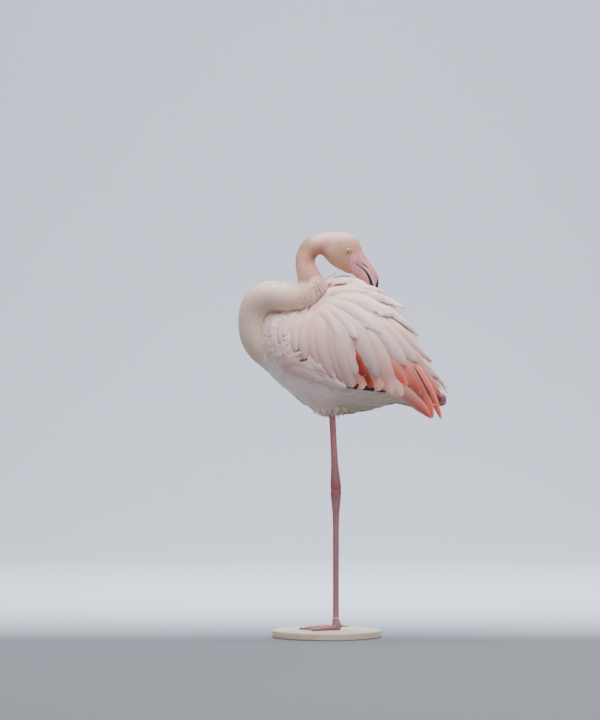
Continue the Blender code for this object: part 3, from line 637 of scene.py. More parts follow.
@dataclass
class Feathers:
    """Many feathers of one kind, gathered before they become a mesh."""

    points: list = field(default_factory=list)
    faces: list = field(default_factory=list)
    tints: list = field(default_factory=list)
    bake: list = field(default_factory=list)
    local: list = field(default_factory=list)
    count: int = 0

    def add(
        self, kind: Vane, centres: Array, normals: Array, width: Array, roll: Array, tints: Array,
        places: Array, rng: Random,
    ) -> None:
        """Add feathers of one kind.

        Args:
            kind: How they are made.
            centres: The points of each shaft, in millimetres.
            normals: The outward direction at each.
            width: Each feather's whole width.
            roll: Each feather's turn about its shaft, in radians.
            tints: The colour at each point of each shaft, or also at each place across.
            places: Each root's place on the unwrapped skin.
            rng: The source of small differences.
        """
        number, stations = centres.shape[:2]
        if not number:
            return
        shares = kind.shares()
        lane, share = np.linspace(-1, 1, kind.lanes)[None, None], shares[None, :, None]
        ahead = unit(np.gradient(centres, axis=1))
        outward = laid(normals, ahead)
        cosine, sine = np.cos(roll)[:, None, None], np.sin(roll)[:, None, None]
        turned = cosine * np.cross(ahead, outward) + sine * outward
        outward = np.cross(turned, ahead)
        half = width[:, None] / 2 * kind.outline.widths(shares)[None]
        ragged = 1 + rng.normal(0, kind.fray, (number, stations, 2))
        torn = (rng.random((number, stations, 2)) < kind.splits) & (share > 0.25)
        ragged = np.where(torn, ragged * rng.uniform(0.45, 0.75, ragged.shape), ragged)
        edge = np.where(lane < 0, ragged[..., :1], ragged[..., 1:])
        reach = half[..., None] * lane * np.where(np.abs(lane) > FRAYED_LANE, edge, 1.0)
        forward = kind.sweep * width[:, None, None] * lane**2 * (0.4 + 0.6 * share) * (1 - share**4)
        drop = kind.crown * width[:, None, None] * lane**2 * np.minimum(1, share * 4)
        top = centres[:, :, None] + reach[..., None] * turned[:, :, None]
        top = top + forward[..., None] * ahead[:, :, None] - drop[..., None] * outward[:, :, None]
        middle = kind.lanes // 2
        under = top[:, :, middle] - kind.thickness * outward
        per_vane = stations * kind.lanes + stations
        starts = self.count + np.arange(number) * per_vane
        self.points.append(metres(np.concatenate([top.reshape(number, -1, 3), under], 1).reshape(-1, 3)))
        self.faces.append((kind.faces()[None] + starts[:, None, None]).reshape(-1, 3))
        tints = np.clip(tints, 0, 1)
        spread = np.repeat(tints[:, :, None], kind.lanes, 2) if tints.ndim == 3 else tints
        spread = np.broadcast_to(spread, (number, stations, kind.lanes, 3))
        # The underside takes the middle lane's colour, darkened as painted shade
        below = spread[:, :, middle] * UNDERSIDE_SHADE
        self.tints.append(np.concatenate([spread.reshape(number, -1, 3), below], 1).reshape(-1, 3))
        patch = np.stack(np.broadcast_arrays((lane + 1) / 2, share), -1).reshape(-1, 2)
        patch = np.concatenate([patch, np.stack([0.5 + 0 * shares, shares], -1)])
        self.bake.append((places[:, None] + PATCH * patch[None]).reshape(-1, 2))
        length = np.linalg.norm(np.diff(centres, axis=1), axis=-1).sum(1)
        side = np.concatenate([reach.reshape(number, -1), np.zeros((number, stations))], 1)
        down = np.concatenate([np.repeat(shares, kind.lanes), shares])[None] * length[:, None]
        self.local.append(np.stack([side, down], -1).reshape(-1, 2) * MM)
        self.count += number * per_vane

    def build(self, name: str) -> Object:
        """All the feathers as one object with its maps and tints.

        Args:
            name: The object's name.

        Returns:
            The object.
        """
        points = np.concatenate(self.points)
        faces = np.concatenate(self.faces)
        mesh = bpy.data.meshes.new(name)
        mesh.vertices.add(len(points))
        mesh.vertices.foreach_set("co", points.astype(np.float32).ravel())
        mesh.loops.add(faces.size)
        mesh.loops.foreach_set("vertex_index", faces.ravel().astype(np.int32))
        mesh.polygons.add(len(faces))
        mesh.polygons.foreach_set("loop_start", np.arange(0, faces.size, 3, dtype=np.int32))
        mesh.polygons.foreach_set("use_smooth", np.ones(len(faces), bool))
        mesh.update(calc_edges=True)
        mesh.validate()
        for map_name, values in ((BAKE_MAP, self.bake), (VANE_MAP, self.local)):
            layer = mesh.uv_layers.new(name=map_name)
            layer.data.foreach_set("uv", np.concatenate(values)[faces.ravel()].astype(np.float32).ravel())
        obj = add_object(name, mesh)
        set_tint(obj, np.concatenate(self.tints))
        activate(obj)
        bpy.ops.object.shade_smooth_by_angle(angle=math.radians(RIM_ANGLE))
        return obj


class Tree:
    """A node tree, with short ways to add to it."""

    def __init__(self, tree: NodeTree) -> None:
        """Keep the tree and its nodes at hand."""
        self.tree = tree
        self.nodes = tree.nodes

    def feed(self, node: Node, inputs: dict[object, object]) -> None:
        """Link or set inputs of a node.

        Args:
            node: The node.
            inputs: For each input, by name or number, a socket to link or a constant to set.
        """
        for key, value in inputs.items():
            if isinstance(value, NodeSocket):
                self.tree.links.new(value, node.inputs[key])
            else:
                node.inputs[key].default_value = value

    def node(self, kind: str, inputs: dict[object, object], **settings: object) -> Node:
        """Add a node.

        Args:
            kind: Its type, without the first word of the type's name.
            inputs: What its inputs get, as for feed.
            settings: Its own settings.

        Returns:
            The node.
        """
        made = self.nodes.new(f"ShaderNode{kind}")
        for name, value in settings.items():
            setattr(made, name, value)
        self.feed(made, inputs)
        return made

    def math(self, operation: str, *inputs: object) -> NodeSocket:
        """A sum of sockets or numbers."""
        return self.node("Math", dict(enumerate(inputs)), operation=operation).outputs[0]

    def scaled(self, colour: NodeSocket, by: NodeSocket) -> NodeSocket:
        """A colour made lighter or darker."""
        return self.node("VectorMath", {0: colour, "Scale": by}, operation="SCALE").outputs[0]


class Shader(Tree):
    """A material's node tree."""

    def __init__(self, name: str) -> None:
        """Start a material with its Principled shader.

        Args:
            name: The material's name.
        """
        self.material = bpy.data.materials.new(name)
        self.material.use_nodes = True
        super().__init__(self.material.node_tree)
        self.surface = self.nodes["Principled BSDF"]

    def set(self, **inputs: object) -> None:
        """Set or link the shader's inputs, whose names have _ for a space."""
        self.feed(self.surface, {name.replace("_", " "): value for name, value in inputs.items()})

    def bump(self, height: NodeSocket, strength: float, distance: float) -> None:
        """Feed a height to the shader's normal."""
        bump = self.node("Bump", {"Strength": strength, "Distance": distance, "Height": height})
        self.set(Normal=bump.outputs["Normal"])

    def tint(self) -> NodeSocket:
        """The colour that each vertex carries."""
        return self.node("Attribute", {}, attribute_name=TINT).outputs["Color"]

    def place(self) -> NodeSocket:
        """Object coordinates."""
        return self.node("TexCoord", {}).outputs["Object"]

    def mottled(self, size: float, amount: float) -> tuple[NodeSocket, NodeSocket]:
        """The vertices' colour with soft variation, and the height of that variation.

        Args:
            size: How many spots lie on a metre.
            amount: How strong they are.

        Returns:
            The sockets of both.
        """
        inputs = {"Place": self.place(), "Colour": self.tint(), "Size": size, "Amount": amount}
        made = self.node("Group", inputs, node_tree=MOTTLE)
        return made.outputs["Colour"], made.outputs["Height"]

    def ramp(self, value: NodeSocket, stops: Sequence[tuple[float, Colour]]) -> NodeSocket:
        """A colour for each value, between stops of a value and a colour.

        Args:
            value: The value's socket.
            stops: The stops, in rising order.

        Returns:
            The colour's socket.
        """
        made = self.node("ValToRGB", {"Fac": value})
        elements = made.color_ramp.elements
        elements.remove(elements[1])
        for number, (position, colour) in enumerate(stops):
            stop = elements.new(position) if number else elements[0]
            stop.position = position
            stop.color = (*colour, 1)
        return made.outputs["Color"]


class Group(Tree):
    """A shader node group that makes a colour and a height from a place, a colour and some numbers."""

    def __init__(self, name: str, place: str, **numbers: float) -> None:
        """Start the group.

        Args:
            name: Its name.
            place: What its first input is called.
            numbers: Its other inputs and their values.
        """
        super().__init__(bpy.data.node_groups.new(name, "ShaderNodeTree"))
        new_socket = self.tree.interface.new_socket
        new_socket(name=place, in_out="INPUT", socket_type="NodeSocketVector")
        colour = new_socket(name="Colour", in_out="INPUT", socket_type="NodeSocketColor")
        colour.default_value = (0.8, 0.8, 0.8, 1)
        for label, value in numbers.items():
            number = new_socket(name=label, in_out="INPUT", socket_type="NodeSocketFloat")
            number.default_value = value
        new_socket(name="Colour", in_out="OUTPUT", socket_type="NodeSocketColor")
        new_socket(name="Height", in_out="OUTPUT", socket_type="NodeSocketFloat")
        self.given = self.nodes.new("NodeGroupInput").outputs
        self.output = self.nodes.new("NodeGroupOutput")


def mottle_group() -> NodeTree:
    """Soft variation of a colour over the surface, used by skin, bill and legs.

    Returns:
        The node group.
    """
    group = Group("mottle", "Place", Size=300.0, Amount=0.15)
    grain = {"Vector": group.given["Place"], "Scale": group.given["Size"], "Detail": 6, "Roughness": 0.65}
    noise = group.node("TexNoise", grain).outputs["Fac"]
    level = group.math("MULTIPLY_ADD", group.math("SUBTRACT", noise, 0.5), group.given["Amount"], 1.0)
    group.feed(group.output, {"Colour": group.scaled(group.given["Colour"], level), "Height": noise})
    return group.tree


def barbs_group() -> NodeTree:
    """The fine slanting barbs and the shaft of a feather, on the map that follows each vane.

    Returns:
        The node group.
    """
    group = Group("barbs", "Vane", Fineness=1400.0, Contrast=0.2, Shaft=0.0005)
    split = group.node("SeparateXYZ", {0: group.given["Vane"]}).outputs
    across = group.math("ABSOLUTE", split["X"])
    slant = group.math("SUBTRACT", split["Y"], group.math("MULTIPLY", across, 1.1))
    fine = group.math("MULTIPLY", slant, group.given["Fineness"])
    lines = group.node("CombineXYZ", {"X": fine, "Y": group.math("MULTIPLY", split["X"], 90.0)}).outputs[0]
    noise = group.node("TexNoise", {"Vector": lines, "Scale": 1.0, "Detail": 3}).outputs["Fac"]
    shaft = group.math("DIVIDE", across, group.given["Shaft"])
    shaft = group.math("SUBTRACT", 1.0, group.math("MINIMUM", shaft, 1.0))
    level = group.math("MULTIPLY_ADD", group.math("SUBTRACT", noise, 0.5), group.given["Contrast"], 1.0)
    level = group.math("MULTIPLY_ADD", shaft, -0.12, level)
    height = group.math("ADD", noise, group.math("MULTIPLY", shaft, 1.2))
    group.feed(group.output, {"Colour": group.scaled(group.given["Colour"], level), "Height": height})
    return group.tree


MOTTLE = mottle_group()
BARBS = barbs_group()


@dataclass(frozen=True)
class FeatherFinish:
    """Soft feather vanes with barbs and a shaft."""

    name: str
    roughness: float = 0.78
    sheen: float = 0.25
    glow: float = 0.12
    fineness: float = 1400.0
    contrast: float = 0.30
    shaft: float = 0.0005
    relief: float = 0.45

    def build(self) -> Material:
        """The material.

        Returns:
            The finish as a Blender material.
        """
        shader = Shader(self.name)
        shader.set(Roughness=self.roughness, Sheen_Weight=self.sheen, Sheen_Roughness=0.4)
        shader.set(Subsurface_Weight=self.glow, Subsurface_Scale=0.004, Subsurface_Radius=(1.0, 0.55, 0.45))
        vane = shader.node("UVMap", {}, uv_map=VANE_MAP).outputs["UV"]
        inputs = {"Fineness": self.fineness, "Contrast": self.contrast, "Shaft": self.shaft}
        barbs = shader.node("Group", {"Vane": vane, "Colour": shader.tint()} | inputs, node_tree=BARBS)
        shader.set(Base_Color=barbs.outputs["Colour"])
        shader.bump(barbs.outputs["Height"], self.relief, 0.0003)
        return shader.material


@dataclass(frozen=True)
class SkinFinish:
    """Skin or horn that takes its colour from the vertices, with fine mottling."""

    name: str
    roughness: float = 0.7
    glow: float = 0.1
    size: float = 500.0
    amount: float = 0.2
    relief: float = 0.3
    depth: float = 0.0005
    coat: float = 0.0

    def build(self) -> Material:
        """The material.

        Returns:
            The finish as a Blender material.
        """
        shader = Shader(self.name)
        shader.set(Roughness=self.roughness, Coat_Weight=self.coat, Coat_Roughness=0.25)
        shader.set(Subsurface_Weight=self.glow, Subsurface_Scale=0.003, Subsurface_Radius=(1.0, 0.4, 0.3))
        colour, height = shader.mottled(self.size, self.amount)
        shader.set(Base_Color=colour)
        shader.bump(height, self.relief, self.depth)
        return shader.material


@dataclass(frozen=True)
class ScaleFinish:
    """The scaled skin of legs and feet."""

    name: str
    scale_size: float = 330.0

    def build(self) -> Material:
        """The material.

        Returns:
            The finish as a Blender material.
        """
        shader = Shader(self.name)
        shader.set(Roughness=0.52, Subsurface_Weight=0.08, Subsurface_Scale=0.002)
        colour, _ = shader.mottled(120.0, 0.5)
        cells = {"Vector": shader.place(), "Scale": self.scale_size, "Randomness": 0.55}
        away = shader.node("TexVoronoi", cells, feature="DISTANCE_TO_EDGE").outputs["Distance"]
        edge = shader.node("MapRange", {"Value": away, "From Max": 0.16}, interpolation_type="SMOOTHSTEP")
        seams = shader.node("MapRange", {"Value": edge.outputs[0], "To Min": 0.72})
        shader.set(Base_Color=shader.scaled(colour, seams.outputs[0]))
        shader.bump(edge.outputs[0], 0.5, 0.0004)
        return shader.material


@dataclass(frozen=True)
class EyeFinish:
    """A wet eye with a small dark pupil in a pale yellow iris."""

    name: str
    centre: tuple[float, float, float]
    radius: float = 0.0075
    stops: tuple = (
        (0.0, (0.004, 0.003, 0.003)),
        (0.2, (0.006, 0.004, 0.004)),
        (0.245, (0.30, 0.19, 0.03)),
        (0.42, (0.62, 0.43, 0.10)),
        (0.7, (0.52, 0.38, 0.12)),
        (0.82, (0.22, 0.13, 0.07)),
    )

    def build(self) -> Material:
        """The material.

        Returns:
            The finish as a Blender material.
        """
        shader = Shader(self.name)
        shader.set(Roughness=0.12, Coat_Weight=1.0, Coat_Roughness=0.04)
        moved = {"Vector": shader.place(), "Location": [-v for v in self.centre]}
        place = shader.node("Mapping", moved, vector_type="POINT").outputs[0]
        flat = shader.node("VectorMath", {0: place, 1: (1, 0, 1)}, operation="MULTIPLY").outputs[0]
        away = shader.node("VectorMath", {0: flat}, operation="LENGTH").outputs["Value"]
        shader.set(Base_Color=shader.ramp(shader.math("DIVIDE", away, self.radius), self.stops))
        return shader.material


@dataclass(frozen=True)
class WoodFinish:
    """Pale, matt, fine-grained wood."""

    name: str
    light: Colour = (0.62, 0.53, 0.43)
    dark: Colour = (0.47, 0.38, 0.29)

    def build(self) -> Material:
        """The material.

        Returns:
            The finish as a Blender material.
        """
        shader = Shader(self.name)
        shader.set(Roughness=0.55, Coat_Weight=0.1, Coat_Roughness=0.4)
        place = shader.node("Mapping", {"Vector": shader.place(), "Scale": (3.0, 42.0, 42.0)}).outputs[0]
        inputs = {"Vector": place, "Scale": 4.0, "Detail": 8, "Distortion": 0.6}
        grain = shader.node("TexNoise", inputs).outputs["Fac"]
        shader.set(Base_Color=shader.ramp(grain, ((0.35, self.dark), (0.62, self.light))))
        shader.bump(grain, 0.15, 0.0005)
        return shader.material


@dataclass(frozen=True)
class FloorFinish:
    """A plain pale floor that is clear from behind, so that the bird shows from every side."""

    name: str
    colour: Colour = (0.148, 0.158, 0.186)

    def build(self) -> Material:
        """The material.

        Returns:
            The finish as a Blender material.
        """
        shader = Shader(self.name)
        shader.set(Base_Color=(*self.colour, 1), Roughness=0.9)
        behind = shader.node("NewGeometry", {}).outputs["Backfacing"]
        clear = shader.node("BsdfTransparent", {}).outputs[0]
        mix = shader.node("MixShader", {0: behind, 1: shader.surface.outputs[0], 2: clear})
        shader.feed(shader.nodes["Material Output"], {"Surface": mix.outputs[0]})
        return shader.material


@dataclass
class NeckForm:
    """The neck and head: their centre line and sections, and the places that other pieces share."""

    lower: Rows = (
        (-120, 0, 590, 40), (-140, 0, 603, 34), (-159, -1, 623, 37.5), (-174, -3, 648, 37.5),
        (-181, -8, 678, 34.5), (-179, -14, 704, 33.5), (-168, -22, 723, 34.5), (-150, -31, 733, 34.5),
        (-130, -38, 734, 34), (-106, -43, 731, 31.5), (-83, -46, 731, 30), (-62, -46, 741, 30.5),
        (-46, -45, 752, 29),
    )
    upper: Rows = (
        (-54, -44, 757, 25), (-61, -42, 782, 25.6), (-68, -39, 804, 21.4), (-66, -35, 822, 21.8),
        (-56, -31, 840.3, 21.4), (-36, -27, 849, 22), (-18, -24.5, 849.6, 22.4),
    )
    head: Rows = (
        (-30, 871.4, -30, 827, 22, -25.9), (-18, 873.5, -20, 815.5, 23, -24),
        (4, 874.5, -7, 803, 26, -22), (24, 872, 9, 794, 26.5, -20),
        (45, 860.5, 22, 787.5, 23, -18), (57.5, 837, 35, 783.5, 18, -16.5),
    )
    eye_x: float = 27.5
    eye_z: float = 834.0
    eye_radius: float = 7.5
    eye_out: float = 21.3

    def lower_surface(self) -> Surface:
        """The neck from the chest to the round end of its fold.

        Returns:
            Its surface.
        """
        rows = smooth_rows(self.lower, 2)
        ahead = unit(rows[-1, :3] - rows[-2, :3])
        ends = []
        for degrees in (25, 50, 70, 84):
            swing = math.radians(degrees)
            centre = rows[-1, :3] + ahead * rows[-1, 3] * math.sin(swing)
            ends.append((*centre, rows[-1, 3] * math.cos(swing)))
        return tube(list(self.lower) + ends, 10, 64)

    def upper_surface(self) -> Surface:
        """The neck from the fold up to the nape."""
        return tube(self.upper, 12, 64)

    def head_surface(self) -> Surface:
        """The head from the nape to the bill, whose turn 0 is the crown."""
        return section_surface(smooth_rows(self.head, 12), 72)

    def eye_centre(self, side: Side) -> Array:
        """The middle of an eyeball, in millimetres.

        Args:
            side: The eye's side.

        Returns:
            The point.
        """
        rows = np.array(self.head, float)
        middle = float(np.interp(self.eye_x, rows[:, 0], rows[:, 5]))
        return np.array([self.eye_x, middle + side.value * self.eye_out, self.eye_z])


def spine(rows: Array) -> tuple[Array, Array]:
    """The middle between each row's upper and lower point, and the way from it to the upper one.

    Args:
        rows: The sections, as for section_surface.

    Returns:
        Both, a row for each section.
    """
    top = np.stack([rows[:, 0], rows[:, 5], rows[:, 1]], -1)
    bottom = np.stack([rows[:, 2], rows[:, 5], rows[:, 3]], -1)
    return (top + bottom) / 2, (top - bottom) / 2


def section_surface(rows: Array, sides: int) -> Surface:
    """A form from rows of an upper point, a lower point, a half width and y.

    Args:
        rows: The sections, each with both points' x and z, its half width and its y.
        sides: How many points go round each.

    Returns:
        The surface.
    """
    centre, upward = spine(rows)
    across = np.zeros_like(centre)
    across[:, 1] = rows[:, 4]
    angles = circle(sides)[None, :, None]
    return Surface(centre[:, None] + (np.cos(angles) * upward[:, None] + np.sin(angles) * across[:, None]))


@dataclass
class Skin:
    """The one skin under all feathers, from the chest and body to the bill's base."""

    form: NeckForm
    voxel: float = 0.0026
    body_depth: float = 4.0
    neck_depth: float = 1.0
    head_depth: float = -0.4
    bed_depth: float = 10.0
    bed_side_depth: float = 34.0
    bed_sides: tuple[float, float] = (98.0, 118.0)
    bed_end: float = 194.0
    fold_height: float = 1.3
    tree: Optional[BVHTree] = None

    def _dome(self) -> Object:
        """The soft bed under the feathers of back and wings.

        Returns:
            The bed as an object.
        """
        body = PLUMAGE.surface
        turn = np.arange(body.grid.shape[1]) / body.grid.shape[1]
        angle = np.abs(np.mod(turn + 0.5, 1) - 0.5) * 360
        inset = blend(self.bed_depth, self.bed_side_depth, ease(*self.bed_sides, angle))
        grid = body.grid - inset[None, :, None] * body.normals
        return Surface(grid[body.grid[:, 0, 0] < self.bed_end]).mesh("dome")

    def build(self, finish: Material) -> None:
        """Join the forms, melt them into one closed skin and colour it.

        Args:
            finish: The skin's material.
        """
        parts = [
            TORSO.surface.mesh("skin", self.body_depth),
            self.form.lower_surface().mesh("neck_lower", self.neck_depth),
            self.form.upper_surface().mesh("neck_upper_skin", self.neck_depth),
            self.form.head_surface().mesh("head_skin", self.head_depth),
            self._dome(),
        ]
        obj = melt(parts, "skin", self.voxel, 6)
        bpy.ops.object.shade_smooth()
        self._refine(obj)
        points = vertices(obj)
        normals = np.empty(points.size, np.float32)
        obj.data.vertices.foreach_get("normal", normals)
        points += normals.reshape(-1, 3) * (folds(millimetres(points)) * self.fold_height * MM)[:, None]
        move_vertices(obj, points)
        self.tree = BVHTree.FromPolygons(points.tolist(), [tuple(p.vertices) for p in obj.data.polygons])
        set_tint(obj, skin_tint(millimetres(points)) * SKIN_SHADE)
        dress(obj, finish, "neck_plumage", "torso", "neck_base", "neck_middle", "neck_upper", "head")

    def _refine(self, obj: Object) -> None:
        """Divide the faces of the bare face, whose mouth line is finer than the rest of the skin.

        Args:
            obj: The skin.
        """
        work = bmesh.new()
        work.from_mesh(obj.data)
        middles = millimetres(np.array([f.calc_center_median() for f in work.faces]))
        chosen = {e for f, bare in zip(list(work.faces), lore(middles)) if bare > 0.02 for e in f.edges}
        bmesh.ops.subdivide_edges(work, edges=list(chosen), cuts=6, use_grid_fill=True)
        work.to_mesh(obj.data)
        work.free()

    def cast(self, x: Array, z: Array, side: Side) -> tuple[Array, Array, Array]:
        """Where level lines from one side meet the skin.

        Args:
            x: The lines' places along X, in millimetres.
            z: Their heights.
            side: The side that they come from.

        Returns:
            The points met, the outward directions there, and which of the lines meet the skin.
        """
        met, facing = np.zeros((len(x), 3)), np.zeros((len(x), 3))
        hit = np.zeros(len(x), bool)
        for number, start in enumerate(metres(np.stack([x, 300.0 * side.value + 0 * x, z], -1))):
            place, normal, _, _ = self.tree.ray_cast(Vector(start), Vector((0, -side.value, 0)))
            if place is not None:
                met[number], facing[number], hit[number] = place, normal, True
        return millimetres(met), facing, hit

    def nearest(self, points: Array) -> tuple[Array, Array, Array]:
        """The closest points of the skin to points in millimetres.

        Args:
            points: Any points.

        Returns:
            The closest points, the outward direction at each, and how far outside the skin each point is.
        """
        found, facing = np.empty_like(points), np.empty_like(points)
        for number, point in enumerate(metres(points)):
            found[number], facing[number], _, _ = self.tree.find_nearest(Vector(point))
        found = millimetres(found)
        return found, facing, ((points - found) * facing).sum(1)


# Middle, reach and strength of the two folded areas in the neck's tight bend
FOLDED: tuple = (((-33, 762), (15, 17), 1.0), ((-54, 726), (24, 20), 0.7))
# The line where the folded neck lies on the wing, as x and z
CREASE: Rows = (
    (-152, 652), (-149, 676), (-138, 695), (-96, 699), (-68, 706), (-50, 716), (-36, 727), (-25, 740),
    (-17, 754),
)


def fold_area(points: Array) -> Array:
    """Where the neck's tight bend is folded, from 0 to 1."""
    upper, lower = (strength * spot(points, middle, reach) for middle, reach, strength in FOLDED)
    return np.maximum(upper, lower)


def folds(points: Array) -> Array:
    """The folds of skin that radiate across the neck's tight bend, from 0 in a hollow to 1 on a crest.

    Args:
        points: Points in millimetres.

    Returns:
        A value for each point.
    """
    x, z = points[:, 0], points[:, 2]
    turn = np.arctan2(z - 795, x + 50)
    waves = np.sin(36 * turn + 1.3 * np.sin(z / 6) + 0.9 * np.sin(x / 5)) * 0.5 + 0.5
    return fold_area(points) * waves**1.6


def lore(points: Array) -> Array:
    """How bare the skin is, from 0 among feathers to 1 between the eye and the bill.

    Args:
        points: Points in millimetres.

    Returns:
        A value for each point.
    """
    x, z = points[:, 0], points[:, 2]
    behind = x - 29.5 - 0.16 * np.maximum(0, 822 - z)
    above = np.interp(x, (29.5, 46.6, 58), (826.8, 830.3, 840.2)) - z
    return ease(-0.7, 0.7, np.minimum(behind, above)) * ease(778, 781, z)


def crease(points: Array) -> Array:
    """How near points are to the shaded line where the folded neck lies on the wing.

    Args:
        points: Points in millimetres.

    Returns:
        A value for each point, 1 on the line.
    """
    line = smooth_rows(CREASE, 6)
    away = np.linalg.norm(points[:, None, [0, 2]] - line[None], axis=-1)
    reach = 4.0 + 5.0 * (1 - ease(-140, -100, points[:, 0]))
    return np.exp(-((away.min(1) / reach) ** 2))


def from_mouth(points: Array) -> tuple[Array, Array]:
    """How far points of the side view are from the mouth's line, and how far along that line.

    Args:
        points: Points in millimetres.

    Returns:
        Both, in millimetres.
    """
    line = smooth_rows(MOUTH, 10)
    away, along = np.full(points.shape[:-1], np.inf), np.zeros(points.shape[:-1])
    for place, distance in zip(line, travelled(line)):
        step = np.linalg.norm(points - place, axis=-1)
        along = np.where(step < away, distance, along)
        away = np.minimum(away, step)
    return away, along


# Middle, reach, colour and strength of the soft marks on face, neck and breast: painted shade round the eye
# and in the neck's inner bend, painted highlights on the upper neck's left rim and on the breast, and the
# plumage's own pale cheek, peach lower cheek and pink forehead
MARKS_AND_PAINTED_LIGHT: tuple = (
    # Painted shade round the eye
    ((20, 838), (15, 9), (0.50, 0.29, 0.20), 0.42),
    ((-10, 832), (10, 15), (0.88, 0.62, 0.50), 0.55),
    ((24, 800), (13, 11), (0.80, 0.39, 0.25), 0.45),
    ((45, 850), (11, 14), (0.72, 0.34, 0.27), 0.6),
    # Painted shade in the neck's inner bend
    ((-60, 834), (9, 11), (0.50, 0.27, 0.18), 0.45),
    # Painted highlight along the upper neck's left rim
    ((-78, 800), (9, 26), (0.86, 0.46, 0.40), 0.5),
    # Painted highlight on the breast
    ((-154, 610), (17, 42), (0.98, 0.79, 0.72), 0.8),
)


def skin_tint(points: Array) -> Array:
    """The colour of skin and short feathers at points in millimetres, from breast to face, with painted
    shade on the upper back of the neck, in its inner bend, in its folds, along the crease on the wing and
    round the eye, and painted highlights on the neck and breast.

    Args:
        points: Places on the neck, head or body.

    Returns:
        Their colours.
    """
    x, z = points[:, 0], points[:, 2]
    patches = np.sin(x / 6.5 + 2 * np.sin(z / 10)) * np.sin(z / 7.5 + 1.7 * np.sin(x / 12))
    away, along = from_mouth(points[:, [0, 2]])
    # The mouth's line where it runs onto the face, painted dark: partly the bill's dark edge, partly painted
    # shadow of the mouth's gap
    line = (1 - ease(0.3, 0.9, away)) * ease(12, 18, along) * ease(784, 790, z) * ease(28, 34, x)
    layers = [
        (BLUSH, ease(700, 800, z) * 0.65),
        (NAPE, ease(750, 806, z) * (1 - ease(836, 866, z)) * 0.9),
        (FAWN, ease(-30, 0, x) * ease(780, 788, z) * (1 - ease(836, 868, z))),
        (np.array(WHITE) * 0.98, ease(852, 872, z) * ease(-62, -30, x) * 0.6),
        # Painted shade on the upper back of the neck, where it curves into the nape
        ((0.36, 0.19, 0.125), ease(-36, -62, x) * ease(832, 846, z) * 0.85),
        # Painted shade in the neck's inner bend
        ((0.27, 0.095, 0.052), spot(points, (-48, 824), (13, 15)) * 0.9),
        # Painted highlight along the top of the lower neck
        (np.array(WHITE) * 1.04, ease(736, 760, z) * (1 - ease(-112, -86, x)) * 0.7),
    ]
    layers += [(hue, amount * spot(points, middle, reach)) for middle, reach, hue, amount in MARKS_AND_PAINTED_LIGHT]
    layers += [
        (OCHRE, ease(0.1, 0.9, patches) * ease(730, 790, z) * (1 - ease(850, 866, z)) * 0.42),
        (SHADE, 0.2 * (fold_area(points) - folds(points))),
        (WHITE, (1 - ease(684, 706, z)) * ease(-165, -135, x)),
        (SHADE, 0.8 * crease(points) * (points[:, 1] < -10)),
        ((0.93, 0.40, 0.42), lore(points)),
        (BLACK, 0.9 * line),
    ]
    colour = np.broadcast_to(CREAM, points.shape)
    for hue, share in layers:
        colour = blend(colour, hue, share[:, None])
    return colour


def belly_tint(points: Array) -> Array:
    """The body feathers' colour: white, with painted shade darkening it towards the belly, most towards the
    rear.

    Args:
        points: Points in millimetres.

    Returns:
        A colour for each point.
    """
    low = 1 - ease(468, 552, points[..., 2])
    behind = 0.35 + 0.65 * ease(-40, 25, points[..., 0])
    return blend(WHITE, BELLY_SHADE, (low * behind)[..., None])


def wing_tint(points: Array) -> Array:
    """The small wing feathers' colour: white, turning pinker and darker low on the wing and towards its
    front, partly the plumage's own pink and partly painted shade.

    Args:
        points: Points in millimetres.

    Returns:
        A colour for each point.
    """
    low = 1 - ease(520, 690, points[..., 2])
    front = 1 - ease(-110, 20, points[..., 0])
    shade = np.clip(0.5 * low + 0.14 * front, 0, 1)
    # Painted shade: towards the lower and front edge the white turns to a darkened pink
    return blend(WHITE, np.array(BLUSH) * 0.88, shade[..., None])


